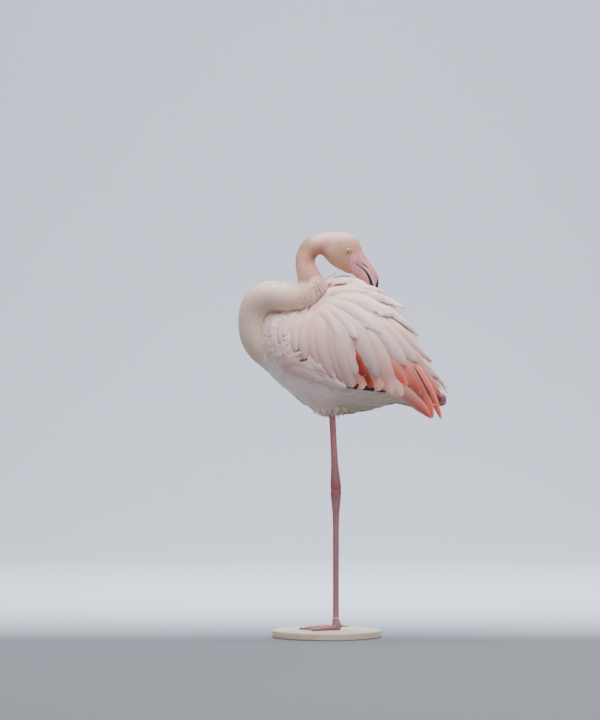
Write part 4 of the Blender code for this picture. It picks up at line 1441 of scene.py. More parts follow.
@dataclass
class ShortCoat:
    """The short feathers of the neck and head."""

    form: NeckForm
    skin: Skin
    vane: Vane = Vane(Outline.POINTED, 4, 3, crown=0.06, thickness=0.14, sweep=0.3, fray=0.16, splits=0.16)
    ruffle: float = 2.6
    depths: tuple[float, float] = (-3.0, 6.0)
    eye_room: float = 8.6
    step: float = 0.004
    frill_pivot: tuple[float, float] = (-50.0, 797.0)
    frill_seed: int = 14

    def _grow(
        self, coat: Feathers, surface: Surface, spacing: float, length: float, width: float, low: float,
        high: float, corner: tuple[float, float], seed: int,
    ) -> None:
        """Cover a stretch of neck or head, with feathers that point towards the chest.

        Args:
            coat: What they are added to.
            surface: The form that they grow on.
            spacing: The distance between roots.
            length: Their length.
            width: Their width.
            low: Where the stretch starts, along the form.
            high: Where it ends.
            corner: Where the form's unwrapped skin starts on the map.
            seed: The seed of small differences.
        """
        rng = np.random.default_rng(seed)
        along, turn = surface.roots(spacing, low, high, rng)
        behind, before = (surface.at(np.clip(along + s, 0, 1), turn) for s in (-self.step, self.step))
        back = behind - before
        root, facing, outside = self.skin.nearest(surface.at(along, turn))
        keep = (outside > self.depths[0]) & (outside < self.depths[1]) & (lore(root) < 0.5)
        keep &= np.linalg.norm(back, axis=1) > 1e-6
        for side in Side:
            centre = self.form.eye_centre(side)
            away = np.linalg.norm((root - centre)[:, [0, 2]] / (1.0, 0.8), axis=1)
            keep &= (away > self.eye_room) | ((root[:, 1] - centre[1]) * side.value < -6)
        root, facing, back, along, turn = (v[keep] for v in (root, facing, back, along, turn))
        ahead = laid(back, facing)
        ahead = unit(ahead + rng.normal(0, 0.1, ahead.shape))
        size = rng.uniform(0.82, 1.18, len(root))
        reach = length * size * (0.75 + 0.35 * (1 - ease(650, 760, root[:, 2])))
        tip, tip_facing, _ = self.skin.nearest(root + ahead * reach[:, None])
        share = self.vane.shares()
        shares = share[None, :, None]
        bow = np.linalg.norm(tip - root, axis=1) * np.linalg.norm(tip_facing - facing, axis=1) / 8
        normals = unit(blend(facing[:, None], tip_facing[:, None], shares))
        lift = 0.45 + 0.25 * rng.random(len(root)) + self.ruffle * folds(root)
        lift = 0.1 + lift[:, None] * np.sqrt(share) + bow[:, None] * 4 * share * (1 - share)
        centres = blend(root[:, None], tip[:, None], shares) + normals * lift[..., None]
        tone = skin_tint(root) * (1 + rng.normal(0, 0.045, (len(root), 1)))
        tone = tone[:, None] * (0.94 + 0.12 * shares)
        places = np.array(corner) + np.stack([0.42 * np.mod(turn, 1), 0.42 * along], -1)
        roll = rng.normal(0, 0.06, len(root))
        coat.add(self.vane, centres, normals, width * size, roll, tone, places, rng)

    def _frill(self, coat: Feathers) -> None:
        """Rows of raised feathers on the folds that radiate across the neck's tight bend.

        Args:
            coat: The coat that takes the feathers.
        """
        rng = np.random.default_rng(self.frill_seed)
        kind = Vane(Outline.POINTED, 6, 3, crown=0.06, thickness=0.14, sweep=0.4, fray=0.16, splits=0.16)
        for side in Side:
            for degrees in np.arange(-106, -24, 6.2):
                reach = np.arange(20, 96, 0.8)
                turn = math.radians(degrees + rng.normal(0, 0.6)) + 0.06 * np.sin(reach / 9 + degrees)
                turn = turn + rng.normal(0, 0.002, len(reach))
                x, z = self.frill_pivot[0] + reach * np.cos(turn), self.frill_pivot[1] + reach * np.sin(turn)
                root, facing, hit = self.skin.cast(x, z, side)
                area = fold_area(root)
                keep = hit & (area > 0.16) & (np.abs(root[:, 1] + 44) < 30)
                keep &= facing[:, 1] * side.value > 0.2
                root, facing, turn, area = (v[keep] for v in (root, facing, turn, area))
                number = len(root)
                if not number:
                    continue
                ahead = np.stack([np.sin(turn), 0 * turn, -np.cos(turn)], -1)
                ahead = laid(ahead + rng.normal(0, 0.07, (number, 3)), facing)
                length = rng.uniform(9, 10.2, number) * (0.75 + 0.35 * area)
                shares = kind.shares()[None, :, None]
                lift = self.ruffle * area * rng.uniform(0.95, 1.1, number)
                lift = 0.3 + lift[:, None, None] * shares**1.2
                centres = root[:, None] + ahead[:, None] * length[:, None, None] * shares
                centres = centres + facing[:, None] * lift
                # Painted highlight: each feather grows lighter towards its raised tip, so that the rows read
                # as lit crests
                tone = blend(skin_tint(root), CREAM, 0.8)[:, None] * (0.95 + 0.38 * shares)
                tone = tone * rng.normal(1, 0.015, (number, 1, 1))
                places = np.stack([0.56 + 0.004 * degrees + 0 * turn, 0.3 + 0.002 * root[:, 2]], -1)
                normals = np.repeat(facing[:, None], kind.stations, 1)
                width, roll = rng.uniform(1.7, 2.5, number), rng.normal(0, 0.04, number)
                coat.add(kind, centres, normals, width, roll, tone, np.mod(places, 0.99), rng)

    def build(self, finish: Material) -> None:
        """Make the coats of the chest, the lower neck, the upper neck and the head.

        Args:
            finish: The feathers' material.
        """
        for name, surface, *how in (
            ("chest_feathers", self.form.lower_surface(), 2.75, 10.5, 3.6, 0.06, 0.44, (0.02, 0.02), 10),
            ("neck_feathers", self.form.lower_surface(), 2.6, 10.5, 3.3, 0.43, 0.995, (0.02, 0.02), 11),
            ("nape_feathers", self.form.upper_surface(), 2.25, 10.0, 3.0, 0.0, 0.93, (0.52, 0.02), 12),
            ("head_feathers", self.form.head_surface(), 2.0, 7.5, 2.7, 0.03, 0.985, (0.02, 0.52), 13),
        ):
            coat = Feathers()
            self._grow(coat, surface, *how)
            dress(coat.build(name), finish, "neck_plumage")
        frill = Feathers()
        self._frill(frill)
        dress(frill.build("frill_feathers"), finish, "neck_plumage")


@dataclass(frozen=True)
class Flow:
    """Which way feathers lie, from rows of a place and a direction in the side view."""

    table: Rows
    reach: float = 15.0

    def heading(self, points: Array) -> Array:
        """The direction at points in millimetres, in the side view's plane.

        Args:
            points: Points in millimetres.

        Returns:
            A unit vector for each point.
        """
        rows = np.asarray(self.table, float)
        away = ((points[:, None, [0, 2]] - rows[None, :, :2]) ** 2).sum(-1)
        weights = 1 / (away + self.reach**2) ** 2
        lean = weights @ unit(rows[:, 2:4])
        return unit(np.stack([lean[:, 0], 0 * lean[:, 0], lean[:, 1]], -1))


@dataclass(frozen=True)
class Combing:
    """Many like feathers, combed over a body."""

    kind: Vane
    spacing: float
    length: float
    width: float
    lift: tuple[float, float]
    tint: Callable
    jitter: float = 0.1
    rise: float = 0.8

    def lay(self, coat: Feathers, body: SectionBody, flow: Flow, keep: Callable, seed: int) -> None:
        """Comb the feathers over the body.

        Args:
            coat: What they are added to.
            body: What they follow.
            flow: Which way they lie.
            keep: Tells which of some roots are wanted.
            seed: The seed of small differences.
        """
        rng = np.random.default_rng(seed)
        along, turn = body.surface.roots(self.spacing, 0.01, 0.99, rng)
        start = body.surface.at(along, turn)
        wanted = keep(start)
        start = start[wanted]
        number = len(start)
        size = rng.uniform(0.82, 1.18, number)
        stray = rng.normal(0, self.jitter, (number, 3))
        shares = self.kind.shares()
        path = [start]
        for step in np.diff(shares):
            facing = body.surface.facing(*body.place(path[-1]))
            ahead = laid(flow.heading(path[-1]) + stray, facing)
            moved = path[-1] + ahead * (self.length * size * step)[:, None]
            path.append(body.surface.at(*body.place(moved)))
        centres = np.stack(path, 1)
        normals = body.surface.facing(*body.place(centres))
        low, high = self.lift
        lift = low + (high - low) * np.sin(shares * math.pi / 2) ** self.rise
        lift = lift[None] + rng.normal(0, 0.12 * (high - low), (number, 1)) * shares[None]
        centres = centres + normals * lift[..., None]
        tone = self.tint(centres) * (0.94 + 0.08 * shares[None, :, None])
        tone = tone * rng.normal(1, 0.03, (number, 1, 1))
        places = np.stack([0.01 + 0.97 * np.mod(turn[wanted], 1), 0.01 + 0.97 * along[wanted]], -1)
        width, roll = self.width * size, rng.normal(0, 0.07, number)
        coat.add(self.kind, centres, normals, width, roll, tone, places, rng)


W, B, C, P, S, K = DyeAndShade.WHITE, DyeAndShade.BLUSH, DyeAndShade.CREAM, DyeAndShade.PALE, DyeAndShade.SALMON, DyeAndShade.CORAL
R, T, G = DyeAndShade.ROSY, DyeAndShade.TAN, DyeAndShade.GAP
ROUND, LONG, POINTED = Outline.ROUND, Outline.LONG, Outline.POINTED

# Root, a place half way and tip of each large feather, as x and z, and its width, layer, colouring and
# outline; the thin GAP feather is a painted shadow line between two plumes
PLUMES: tuple = (
    (-132, 697, -143, 678, -145, 653, 20, 1.2, W, ROUND),
    (-112, 697, -123, 667, -121, 631, 22, 1.6, W, ROUND),
    (-92, 702, -108, 675, -114, 647, 21, 2.6, W, LONG),
    (-73, 700, -90, 660, -88, 614, 24, 2.4, W, LONG),
    (-53, 706, -73, 660, -68, 594, 29, 3.2, W, LONG),
    (-37, 717, -55, 649, -37, 574, 31, 1.6, B, LONG),
    (-22, 722, -35, 634, -7, 557, 35, 3.6, W, LONG),
    (-7, 722, -13, 625, 13, 550, 26, 1.8, B, LONG),
    (4, 724, 9, 625, 35, 537, 42, 4.6, W, LONG),
    (22, 678, 31, 603, 40, 539, 19, 1.8, B, LONG),
    (26, 708, 59, 634, 90, 557, 35, 4.2, W, LONG),
    (57, 686, 95, 612, 121, 521, 31, 2.6, R, LONG),
    (46, 717, 108, 645, 150, 583, 35, 4.8, W, LONG),
    (79, 700, 132, 647, 176, 590, 29, 3.4, W, LONG),
    (110, 695, 163, 638, 209, 590, 26, 3.8, W, POINTED),
    (79, 722, 134, 690, 178, 647, 26, 4.6, W, POINTED),
    (31, 744, 97, 732, 147, 706, 26, 5.2, W, POINTED),
    (0, 750, 55, 754, 106, 741, 22, 5.6, W, POINTED),
    (-22, 759, 22, 769, 68, 757, 20, 5.4, W, ROUND),
    (-31, 757, 0, 768, 35, 767, 15, 5.0, W, ROUND),
    (-31, 752, -20, 766, -11, 778, 9, 6.4, C, POINTED),
    (-26, 752, -13, 766, 0, 781, 10, 7.0, C, POINTED),
    (-26, 726, 44, 728, 123, 691, 31, 5.0, W, LONG),
    (-31, 719, 31, 708, 99, 651, 33, 4.8, W, LONG),
    (-40, 713, 9, 691, 44, 642, 31, 4.4, W, LONG),
    (-44, 708, -13, 686, 9, 642, 29, 4.2, W, LONG),
    (-26, 735, 20, 746, 70, 741, 20, 5.8, C, ROUND),
    (31, 612, 45, 570, 57, 531, 33, -0.8, T, LONG),
    (37, 616, 50, 587, 62, 561, 31, 1.2, K, LONG),
    (57, 581, 69, 557, 77, 536, 20, 0.4, K, LONG),
    (62, 594, 81, 559, 95, 528, 35, -0.4, T, LONG),
    (114, 616, 136, 570, 150, 530, 25, 1.8, S, LONG),
    (141, 607, 165, 561, 184, 522, 24, 2.2, S, LONG),
    (88, 585, 119, 548, 145, 515, 31, 0.6, R, LONG),
    (114, 554, 165, 510, 211, 466, 29, 0.8, P, POINTED),
    (145, 612, 185, 541, 213, 468, 24, 2.4, P, POINTED),
    (165, 603, 200, 541, 231, 465, 21, 3.0, S, POINTED),
    # Painted shadow: a thin dark feather in the gap between the plumes beside it
    (158, 596, 186, 554, 213, 502, 3, 3.6, G, POINTED),
    (172, 603, 207, 552, 231, 513, 18, 2.6, P, POINTED),
    (158, 618, 209, 572, 246, 532, 21, 3.6, C, POINTED),
    (141, 634, 187, 592, 224, 552, 24, 3.4, W, POINTED),
)
FLANK_PLUMES: tuple = (
    (-86, 594, -73, 596, -61, 600, 6.5, 3.4, G, POINTED),
    (-53, 570, -37, 567, -24, 561, 6, 3.6, T, POINTED),
    (-9, 574, 7, 557, 20, 541, 15, 1.0, T, ROUND),
    (-121, 596, -97, 603, -70, 615, 14, 2.2, W, POINTED),
    (-128, 585, -88, 590, -48, 574, 26, 2.8, W, LONG),
    (-97, 590, -59, 590, -24, 568, 26, 2.2, W, LONG),
    (-117, 572, -73, 570, -26, 551, 29, 3.2, W, ROUND),
    (-68, 585, -35, 576, -2, 557, 22, 2.6, W, LONG),
    (-81, 559, -31, 556, 22, 536, 25, 3.0, W, ROUND),
)
# The same of each black flight feather, without dye and outline
FLIGHT: tuple = tuple(
    (-22 + 2 * s, 550 - s, 35 + 2 * s, 538.5 - s / 2, 79 + 3 * s, 532.5 - s, 13, -2 - s / 2.2 * 0.7)
    for s in (0, 2.2, 4.4, 6.6, 8.8, 11)
)
WING_FLOW = Flow([(r[2], r[3], r[4] - r[0], r[5] - r[1]) for r in PLUMES])
BODY_FLOW = Flow(
    (
        (-172, 671, 0.2, -1), (-163, 627, 0.35, -1), (-145, 583, 0.6, -0.8), (-112, 532, 0.85, -0.6),
        (-73, 502, 0.8, -0.6), (-40, 475, 0.7, -0.6), (-7, 480, 1, -0.4), (31, 502, 1, -0.2),
        (79, 506, 1, -0.03), (132, 510, 1, 0), (185, 515, 1, -0.25), (-101, 568, 1, -0.2),
        (-35, 541, 1, -0.16), (31, 526, 1, -0.12), (-79, 715, 1, 0.1), (53, 759, 1, -0.1),
        (163, 682, 0.6, -0.8),
    )
)
BED = Combing(Vane(ROUND, 9, 5, 0.1, 0.4, fray=0.04, splits=0.05), 9.5, 38, 18, (-9.0, -4.2), wing_tint)
WRIST = Combing(Vane(ROUND, 7, 5, 0.1, 0.35, fray=0.05, splits=0.08), 8.5, 30, 15, (-4.5, 0.6), wing_tint)
FLANK = Combing(Vane(ROUND, 8, 5, 0.1, 0.35, fray=0.06, splits=0.08), 8, 30, 14, (-5, 0.4), wing_tint)
BODY = Combing(Vane(ROUND, 8, 5, 0.08, 0.3, 0.35, 0.06, 0.1), 8.6, 46, 20, (-1.5, 2.6), belly_tint)
BELLY = Combing(Vane(POINTED, 10, 5, 0.13, 0.3, 0.35, 0.08, 0.12), 15, 52, 19, (-2.5, 4.6), belly_tint)
BACK = Combing(Vane(POINTED, 10, 5, 0.08, 0.4, fray=0.05, splits=0.08), 9.5, 52, 20, (-6.5, -1.2), wing_tint)


def low_edge(points: Array) -> Array:
    """The height where the soft feathers of the flank begin."""
    return 616 - 0.5 * np.maximum(0, points[:, 0] + 80)


@dataclass
class Wing:
    """A folded wing's feathers."""

    side: Side
    top_angle: float = math.radians(11)
    low_angle: float = math.radians(122)
    understudies: int = 2
    overhang: float = 0.8
    bed_angle: float = 112.0
    front: float = -158.0
    wrist_end: float = -84.0
    rear: float = 178.0

    def _path(self, marks: Sequence[float], shares: Array) -> tuple[Array, Array]:
        """The shaft of a feather over the body's outer form.

        Args:
            marks: The root, a place half way and the tip, each as x and z.
            shares: Places along the shaft.

        Returns:
            Its points, and the outward directions there.
        """
        root, middle, tip = np.reshape(marks, (3, 2))
        flat = quadratic((root, 2 * middle - (root + tip) / 2, tip), shares)
        angle = np.clip(PLUMAGE.angle(flat[:, 0], flat[:, 1]), self.top_angle, self.low_angle)
        along, turn = PLUMAGE.along(flat[:, 0]), self.side.value * angle / (2 * math.pi)
        points = PLUMAGE.surface.at(along, turn)
        points[:, [0, 2]] = flat
        return points, PLUMAGE.surface.facing(along, turn)

    def _plume(self, coat: Feathers, row: Sequence, blush_and_shade: float, crown: float, rng: Random) -> None:
        """Add one large feather and the ones that show a little beside it.

        Args:
            coat: What they are added to.
            row: The feather's places, width, layer, colouring, for some with painted shade, and outline.
            blush_and_shade: How strongly it takes part in the wing's painted highlight above, and in its
                pink tinge and painted shade towards its front and lower edge.
            crown: How much it curves across.
            rng: The source of small differences.
        """
        *marks, width, layer, dye_and_shade, outline = row
        kind = Vane(outline, 15, 7, crown, 0.5, sweep=0.12, fray=0.03, splits=0.03)
        shares = kind.shares()
        marks = np.array(marks, float)
        for copy in range(1 if outline is Outline.POINTED else self.understudies, -1, -1):
            moved = marks.copy()
            if copy:
                moved[4:] -= (marks[4:] - marks[:2]) * rng.uniform(0.05, 0.16) * copy
                stray = np.tile(rng.normal(0, 0.12, 2) * (width, -width), 3)
                moved += stray * (0.3, 0.3, 0.7, 0.7, 1, 1)
            points, normals = self._path(moved, shares)
            out = self.side.value * self.overhang * ease(0.35, 1, shares) * ease(0.55, 0.9, normals[:, 2])
            normals = unit(normals + np.stack([0 * out, out, 0 * out], -1))
            lift = blend(-3.6, layer - 0.9 * copy, ease(0, 0.3, shares)) + 0.8 * shares**2
            points = points + normals * lift[:, None]
            tints = dye_and_shade.tints(shares, np.linspace(-1, 1, kind.lanes)) * rng.normal(1, 0.02)
            # Painted light and shade on WHITE and BLUSH plumes: lighter high on the wing, darker and pinker
            # towards its lower and front edge, where it is partly the plumage's own pink
            if dye_and_shade in (DyeAndShade.WHITE, DyeAndShade.BLUSH):
                low = 1 - ease(550, 715, points[:, 2])
                front = 1 - ease(-110, 40, points[:, 0])
                shade = np.clip((0.9 * low + 0.4 * front) * blush_and_shade, 0, 1)
                tints = tints * blend((1.10, 1.12, 1.11), (0.66, 0.52, 0.53), shade[:, None])[:, None]
            place = np.array([[0.5 + 0.4 * self.side.value, PLUMAGE.along(points[0, 0])]])
            size = np.array([width * rng.uniform(0.97, 1.03)])
            roll = np.array([self.side.value * 0.05])
            coat.add(kind, points[None], normals[None], size, roll, tints[None], place, rng)

    def _on_wing(self, points: Array) -> Array:
        """Which roots are on this wing.

        Args:
            points: Points in millimetres.

        Returns:
            True or false for each point.
        """
        angle = np.abs(PLUMAGE.place(points)[1]) * 360
        on_side = (points[:, 1] * self.side.value > 0) & (angle < self.bed_angle)
        return on_side & (points[:, 0] > self.front) & (points[:, 0] < self.rear)

    def _on_wrist(self, points: Array) -> Array:
        """Which roots are where the wing bends."""
        return self._on_wing(points) & (points[:, 0] < self.wrist_end) & (points[:, 2] > low_edge(points))

    def _on_flank(self, points: Array) -> Array:
        """Which roots are on the flank in front of the wing's lower edge."""
        return self._on_wing(points) & (points[:, 2] < low_edge(points)) & (points[:, 0] < 0)

    def build(self, finish: Material, dark: Material) -> None:
        """Lay the bed of small feathers, the large ones, and the black ones below them.

        Args:
            finish: The material of pale feathers.
            dark: That of the black ones.
        """
        coat, flight, word = Feathers(), Feathers(), self.side.word
        rng = np.random.default_rng(40 + self.side.value)
        BED.lay(coat, PLUMAGE, WING_FLOW, self._on_wing, 60 + self.side.value)
        WRIST.lay(coat, PLUMAGE, WING_FLOW, self._on_wrist, 70 + self.side.value)
        FLANK.lay(coat, PLUMAGE, BODY_FLOW, self._on_flank, 80 + self.side.value)
        for rows, blush_and_shade, crown in ((PLUMES, 1.0, 0.18), (FLANK_PLUMES, 0.35, 0.1)):
            for row in rows:
                self._plume(coat, row, blush_and_shade, crown, rng)
        dress(coat.build(f"wing_feathers_{word}"), finish, "plumage", f"wing_{word}")
        kind = Vane(Outline.POINTED, 16, 5, 0.06, 0.45, fray=0.01)
        shares = kind.shares()
        tone = np.tile(BLACK, (1, kind.stations, 1))
        for *marks, width, layer in FLIGHT:
            points, normals = self._path(marks, shares)
            points = points + normals * (layer - 1.5 * shares)[:, None]
            size, place = np.array([float(width)]), np.array([[0.5, 0.5 - 0.02 * layer]])
            flight.add(kind, points[None], normals[None], size, np.zeros(1), tone, place, rng)
        dress(flight.build(f"flight_feathers_{word}"), dark, "flight_black", f"primaries_{word}")


@dataclass
class BodyCoat:
    """The breast, belly, flank and back feathers."""

    skin: Skin
    depths: tuple[float, float] = (-2.0, 8.0)
    leg_top: tuple[float, float, float] = (-14.0, -13.0, 496.0)
    tufts: int = 330
    tuft_seed: int = 150

    def _tufts(self, coat: Feathers) -> None:
        """The wispy, drooping feathers round the top of the standing leg.

        Args:
            coat: The coat that takes the feathers.
        """
        rng = np.random.default_rng(self.tuft_seed)
        kind = Vane(Outline.POINTED, 8, 5, crown=0.12, thickness=0.3, fray=0.16, splits=0.2)
        number = self.tufts
        spin = rng.uniform(0, 2 * math.pi, number)
        ring = 6 + 30 * rng.random(number) ** 0.7
        outward = np.stack([np.cos(spin), 0.8 * np.sin(spin), 0 * spin], -1)
        start = np.array(self.leg_top) + outward * ring[:, None] + np.array([0, 0, 0.12]) * ring[:, None]
        drop = rng.uniform(20, 33, number) - 0.28 * ring
        shares = kind.shares()[None, :, None]
        slant = np.array([0.18, 0, -1.0]) + rng.normal(0, 0.12, (number, 3))
        end = start + outward * (drop * 0.34)[:, None] + slant * drop[:, None]
        centres = blend(start[:, None], end[:, None], shares)
        centres = centres + outward[:, None] * (0.14 * drop[:, None, None] * np.sin(math.pi * shares))
        tone = blend(belly_tint(centres), WHITE, 0.35) * (0.94 + 0.12 * shares)
        tone = tone * rng.normal(1, 0.05, (number, 1, 1))
        normals = np.repeat(outward[:, None], kind.stations, 1) + (0, 0, 0.1)
        places = np.stack([0.5 + 0.2 * outward[:, 0], 0.45 + 0.2 * outward[:, 1]], -1)
        widths, roll = rng.uniform(3, 6.5, number), rng.normal(0, 0.3, number)
        coat.add(kind, centres, normals, widths, roll, tone, places, rng)

    def _bare(self, points: Array) -> Array:
        """Which roots are neither under a wing nor inside the neck."""
        _, _, outside = self.skin.nearest(points)
        return (outside > self.depths[0]) & (outside < self.depths[1])

    def _low(self, points: Array) -> Array:
        """Which of the bare roots are on the belly."""
        return self._bare(points) & (points[:, 2] < 545) & (points[:, 0] > -120)

    def _midline(self, points: Array) -> Array:
        """Which roots are along the back."""
        return (np.abs(points[:, 1]) < 30) & (points[:, 2] > 560) & (points[:, 0] > -60)

    def build(self, finish: Material) -> None:
        """Make the body's coats.

        Args:
            finish: The feathers' material.
        """
        for name, combing, form, keep, seed in (
            ("body_feathers", BODY, TORSO, self._bare, 31),
            ("belly_feathers", BELLY, TORSO, self._low, 33),
            ("back_feathers", BACK, PLUMAGE, self._midline, 32),
        ):
            coat = Feathers()
            combing.lay(coat, form, BODY_FLOW, keep, seed)
            if combing is BELLY:
                self._tufts(coat)
            dress(coat.build(name), finish, "plumage")


@dataclass
class Tail:
    """The short tail's feathers."""

    root: tuple[float, float] = (160.0, 532.0)
    tip: tuple[float, float] = (226.0, 500.0)
    half_width: float = 26.0
    count: int = 12
    seed: int = 160

    def build(self, finish: Material) -> None:
        """Fan the feathers about the midline.

        Args:
            finish: The feathers' material.
        """
        rng = np.random.default_rng(self.seed)
        kind = Vane(Outline.LONG, 12, 5, crown=0.06, thickness=0.45, fray=0.03, splits=0.05)
        coat = Feathers()
        shares = kind.shares()[None]
        for row in range(2):
            spread = np.linspace(-1, 1, self.count)[:, None] + 0 * shares
            reach = 1 - 0.25 * row
            x = self.root[0] + (self.tip[0] - 5 * spread**2 - self.root[0]) * shares * reach
            z = self.root[1] + (self.tip[1] - self.root[1]) * shares * reach - 5 * spread**2 + 2.4 * row
            y = self.half_width * spread * (0.3 + 0.7 * shares)
            centres = np.stack([x, y, z + 0.3 * np.arange(self.count)[:, None] % 0.6], -1)
            normals = np.stack([0.4 + 0 * x, 0.25 * spread, 0.9 + 0 * x], -1)
            tone = blend(BLUSH, (0.90, 0.24, 0.17), ease(0.3, 1, shares)[..., None]) + 0 * centres
            places = np.stack([0.3 + 0.2 * (spread[:, 0] + 1), 0.2 + 0.3 * row + 0 * spread[:, 0]], -1)
            size, roll = np.full(self.count, 13.0), 0.1 * np.sign(spread[:, 0])
            coat.add(kind, centres, normals, size, roll, tone, places, rng)
        dress(coat.build("tail_feathers"), finish, "tail_plumage", "tail")


@dataclass
class Bill:
    """The bent bill: two mandibles that meet along the mouth, with slit nostrils."""

    sections: Rows = (
        (55, 841.5, 33, 784, 17.0, -16.8), (58.5, 835.5, 35.6, 783.2, 17.4, -16.4),
        (70.5, 816, 47, 774, 16.5, -15.2), (82.5, 800, 57, 762, 15.5, -14),
        (90.5, 783, 67, 747.5, 13.5, -12.6), (93.5, 767.5, 74, 736, 11.5, -11.2),
        (92.5, 752, 79, 727, 9, -9.8), (88, 737, 81, 721.5, 6, -8.6),
        (84.5, 728, 81.5, 722, 2.5, -8),
    )
    nostril: Rows = ((57.5, 806.5), (70.5, 797.5))
    half_gap: float = 0.3
    per_span: int = 20
    sides: int = 76

    def _rows(self) -> tuple[Array, Array]:
        """The dense sections, and the height of the mouth in each from -1 to 1.

        Returns:
            Both, with a row for each section.
        """
        rows = smooth_rows(self.sections, self.per_span)
        line = smooth_rows(MOUTH, 12)
        heights = []
        for row in rows:
            low, high = np.array([row[2], row[3]]), np.array([row[0], row[1]])
            span = high - low
            offset = (line - low) @ np.array([-span[1], span[0]])
            crossings = np.nonzero(np.diff(np.sign(offset)))[0]
            k = int(crossings[0]) if len(crossings) else len(line) - 2
            share = offset[k] / (offset[k] - offset[k + 1] + 1e-9)
            point = line[k] + (line[k + 1] - line[k]) * share
            heights.append(np.clip(2 * ((point - low) @ span) / (span @ span) - 1, -0.6, 0.75))
        return rows, np.array(heights)

    def _mandible(self, upper: bool) -> tuple[Array, Array]:
        """One mandible's grid of points, and each point's colour.

        Args:
            upper: Whether it is the upper one.

        Returns:
            The grid in millimetres, and its colours.
        """
        rows, heights = self._rows()
        travel = np.linspace(0, 1, len(rows))
        gap = self.half_gap * 2 / np.linalg.norm(rows[:, [0, 1]] - rows[:, [2, 3]], axis=1)
        limit = np.arccos(np.clip(heights + (gap if upper else -gap), -0.98, 0.98))
        spread = np.linspace(-1, 1, self.sides)
        spread = np.sign(spread) * np.abs(spread) ** 0.7
        near_edge = np.abs(spread)[None] ** 6
        if upper:
            angles = limit[:, None] * spread[None]
            width = rows[:, 4:5] * (1 - 0.10 * near_edge - 0.05 * np.cos(angles) ** 2)
        else:
            angles = math.pi + (math.pi - limit)[:, None] * spread[None]
            width = rows[:, 4:5] * (1 + 0.03 * near_edge)
        centre, upward = spine(rows)
        grid = centre[:, None] + np.cos(angles)[..., None] * upward[:, None]
        grid[..., 1] += np.sin(angles) * width
        colours = self._tints(grid, travel, np.abs(spread), upper)
        if upper:
            grid = self._sink_nostrils(grid, colours)
        return grid, colours

    def _tints(self, grid: Array, travel: Array, edge: Array, upper: bool) -> Array:
        """Pink horn with a black tip, a painted highlight along the top, a pale rim above the mouth and
        painted shadow at the upper mandible's edge in the mouth, and below the mouth a dark rim that is
        partly the lower mandible's own dark edge and partly painted shadow of the mouth's gap.

        Args:
            grid: The points of one mandible.
            travel: The share of the bill's length at each section.
            edge: Each place round a section, from 0 at its middle to 1 at the mouth.
            upper: Whether it is the upper mandible.

        Returns:
            A colour for each point.
        """
        away, along = from_mouth(grid[..., [0, 2]])
        base = np.array(HORN) * 1.03 if upper else np.array((0.75, 0.34, 0.345))
        colours = np.tile(base, (*grid.shape[:2], 1))
        colours = blend(colours, base * (1.04, 1.12, 1.12), (1 - ease(0, 0.2, travel))[:, None, None])
        if upper:
            # Painted highlight along the top of the upper mandible
            shine = ease(0.45, 0.0, edge)[None, :, None] * ease(0.05, 0.3, travel)[:, None, None]
            colours = blend(colours, (0.66, 0.42, 0.43), shine * 0.8)
            rim = ease(0.8, 1.2, away) * (1 - ease(3.2, 4.4, away)) * ease(30, 50, along)
            colours = blend(colours, (0.90, 0.66, 0.58), 0.9 * rim[..., None])
            # Painted shadow along the upper mandible's edge in the mouth
            line = (1 - ease(0.6, 1.2, away)) * ease(14, 18, along)
        else:
            # Dark rim along the lower mandible's edge: partly its own dark edge, partly painted shadow of
            # the mouth's gap
            width = np.interp(along, (14, 38, 56, 76, 90), (1.5, 2.7, 4.2, 6.0, 6.6))
            line = (1 - ease(width - 0.5, width + 0.5, away)) * ease(12, 18, along)
        colours = blend(colours, BLACK, line[..., None])
        slant = travel[:, None] + 0.14 * (1 - edge[None] ** 2)
        return blend(colours, BLACK, ease(0.665, 0.71, slant)[..., None])

    def _sink_nostrils(self, grid: Array, colours: Array) -> Array:
        """Press the nostrils into the upper mandible's sides and paint shade into them.

        Args:
            grid: The upper mandible's points.
            colours: Their colours, which are changed in place.

        Returns:
            The pressed points.
        """
        start, end = np.array(self.nostril, float)
        span = end - start
        flat = grid[..., [0, 2]] - start
        share = np.clip((flat @ span) / (span @ span), 0, 1)
        away = np.linalg.norm(flat - share[..., None] * span, axis=-1)
        width = 0.9 + 0.9 * np.sin(math.pi * share)
        hollow = 1 - ease(0.35, 1.0, away / width)
        rim = np.exp(-(((away / width - 1.35) / 0.4) ** 2))
        middle = grid[..., 1].mean(1, keepdims=True)
        out = np.sign(grid[..., 1] - middle)
        grid[..., 1] -= out * (1.7 * hollow - 0.25 * rim)
        # Painted shade in the nostril hollows
        colours[:] = blend(colours, (0.10, 0.03, 0.035), (hollow * 0.9)[..., None])
        return grid

    def build(self, finish: Material) -> None:
        """Make both mandibles.

        Args:
            finish: The horn's material.
        """
        for name, upper, node in (("bill_top", True, "bill_upper"), ("bill_bottom", False, "bill_lower")):
            grid, colours = self._mandible(upper)
            obj = closed_form(name, grid)
            set_tint(obj, np.vstack([colours.reshape(-1, 3), np.tile(BLACK, (2, 1))]))
            activate(obj)
            bpy.ops.object.shade_smooth_by_angle(angle=math.radians(50))
            dress(obj, finish, "bill", node)


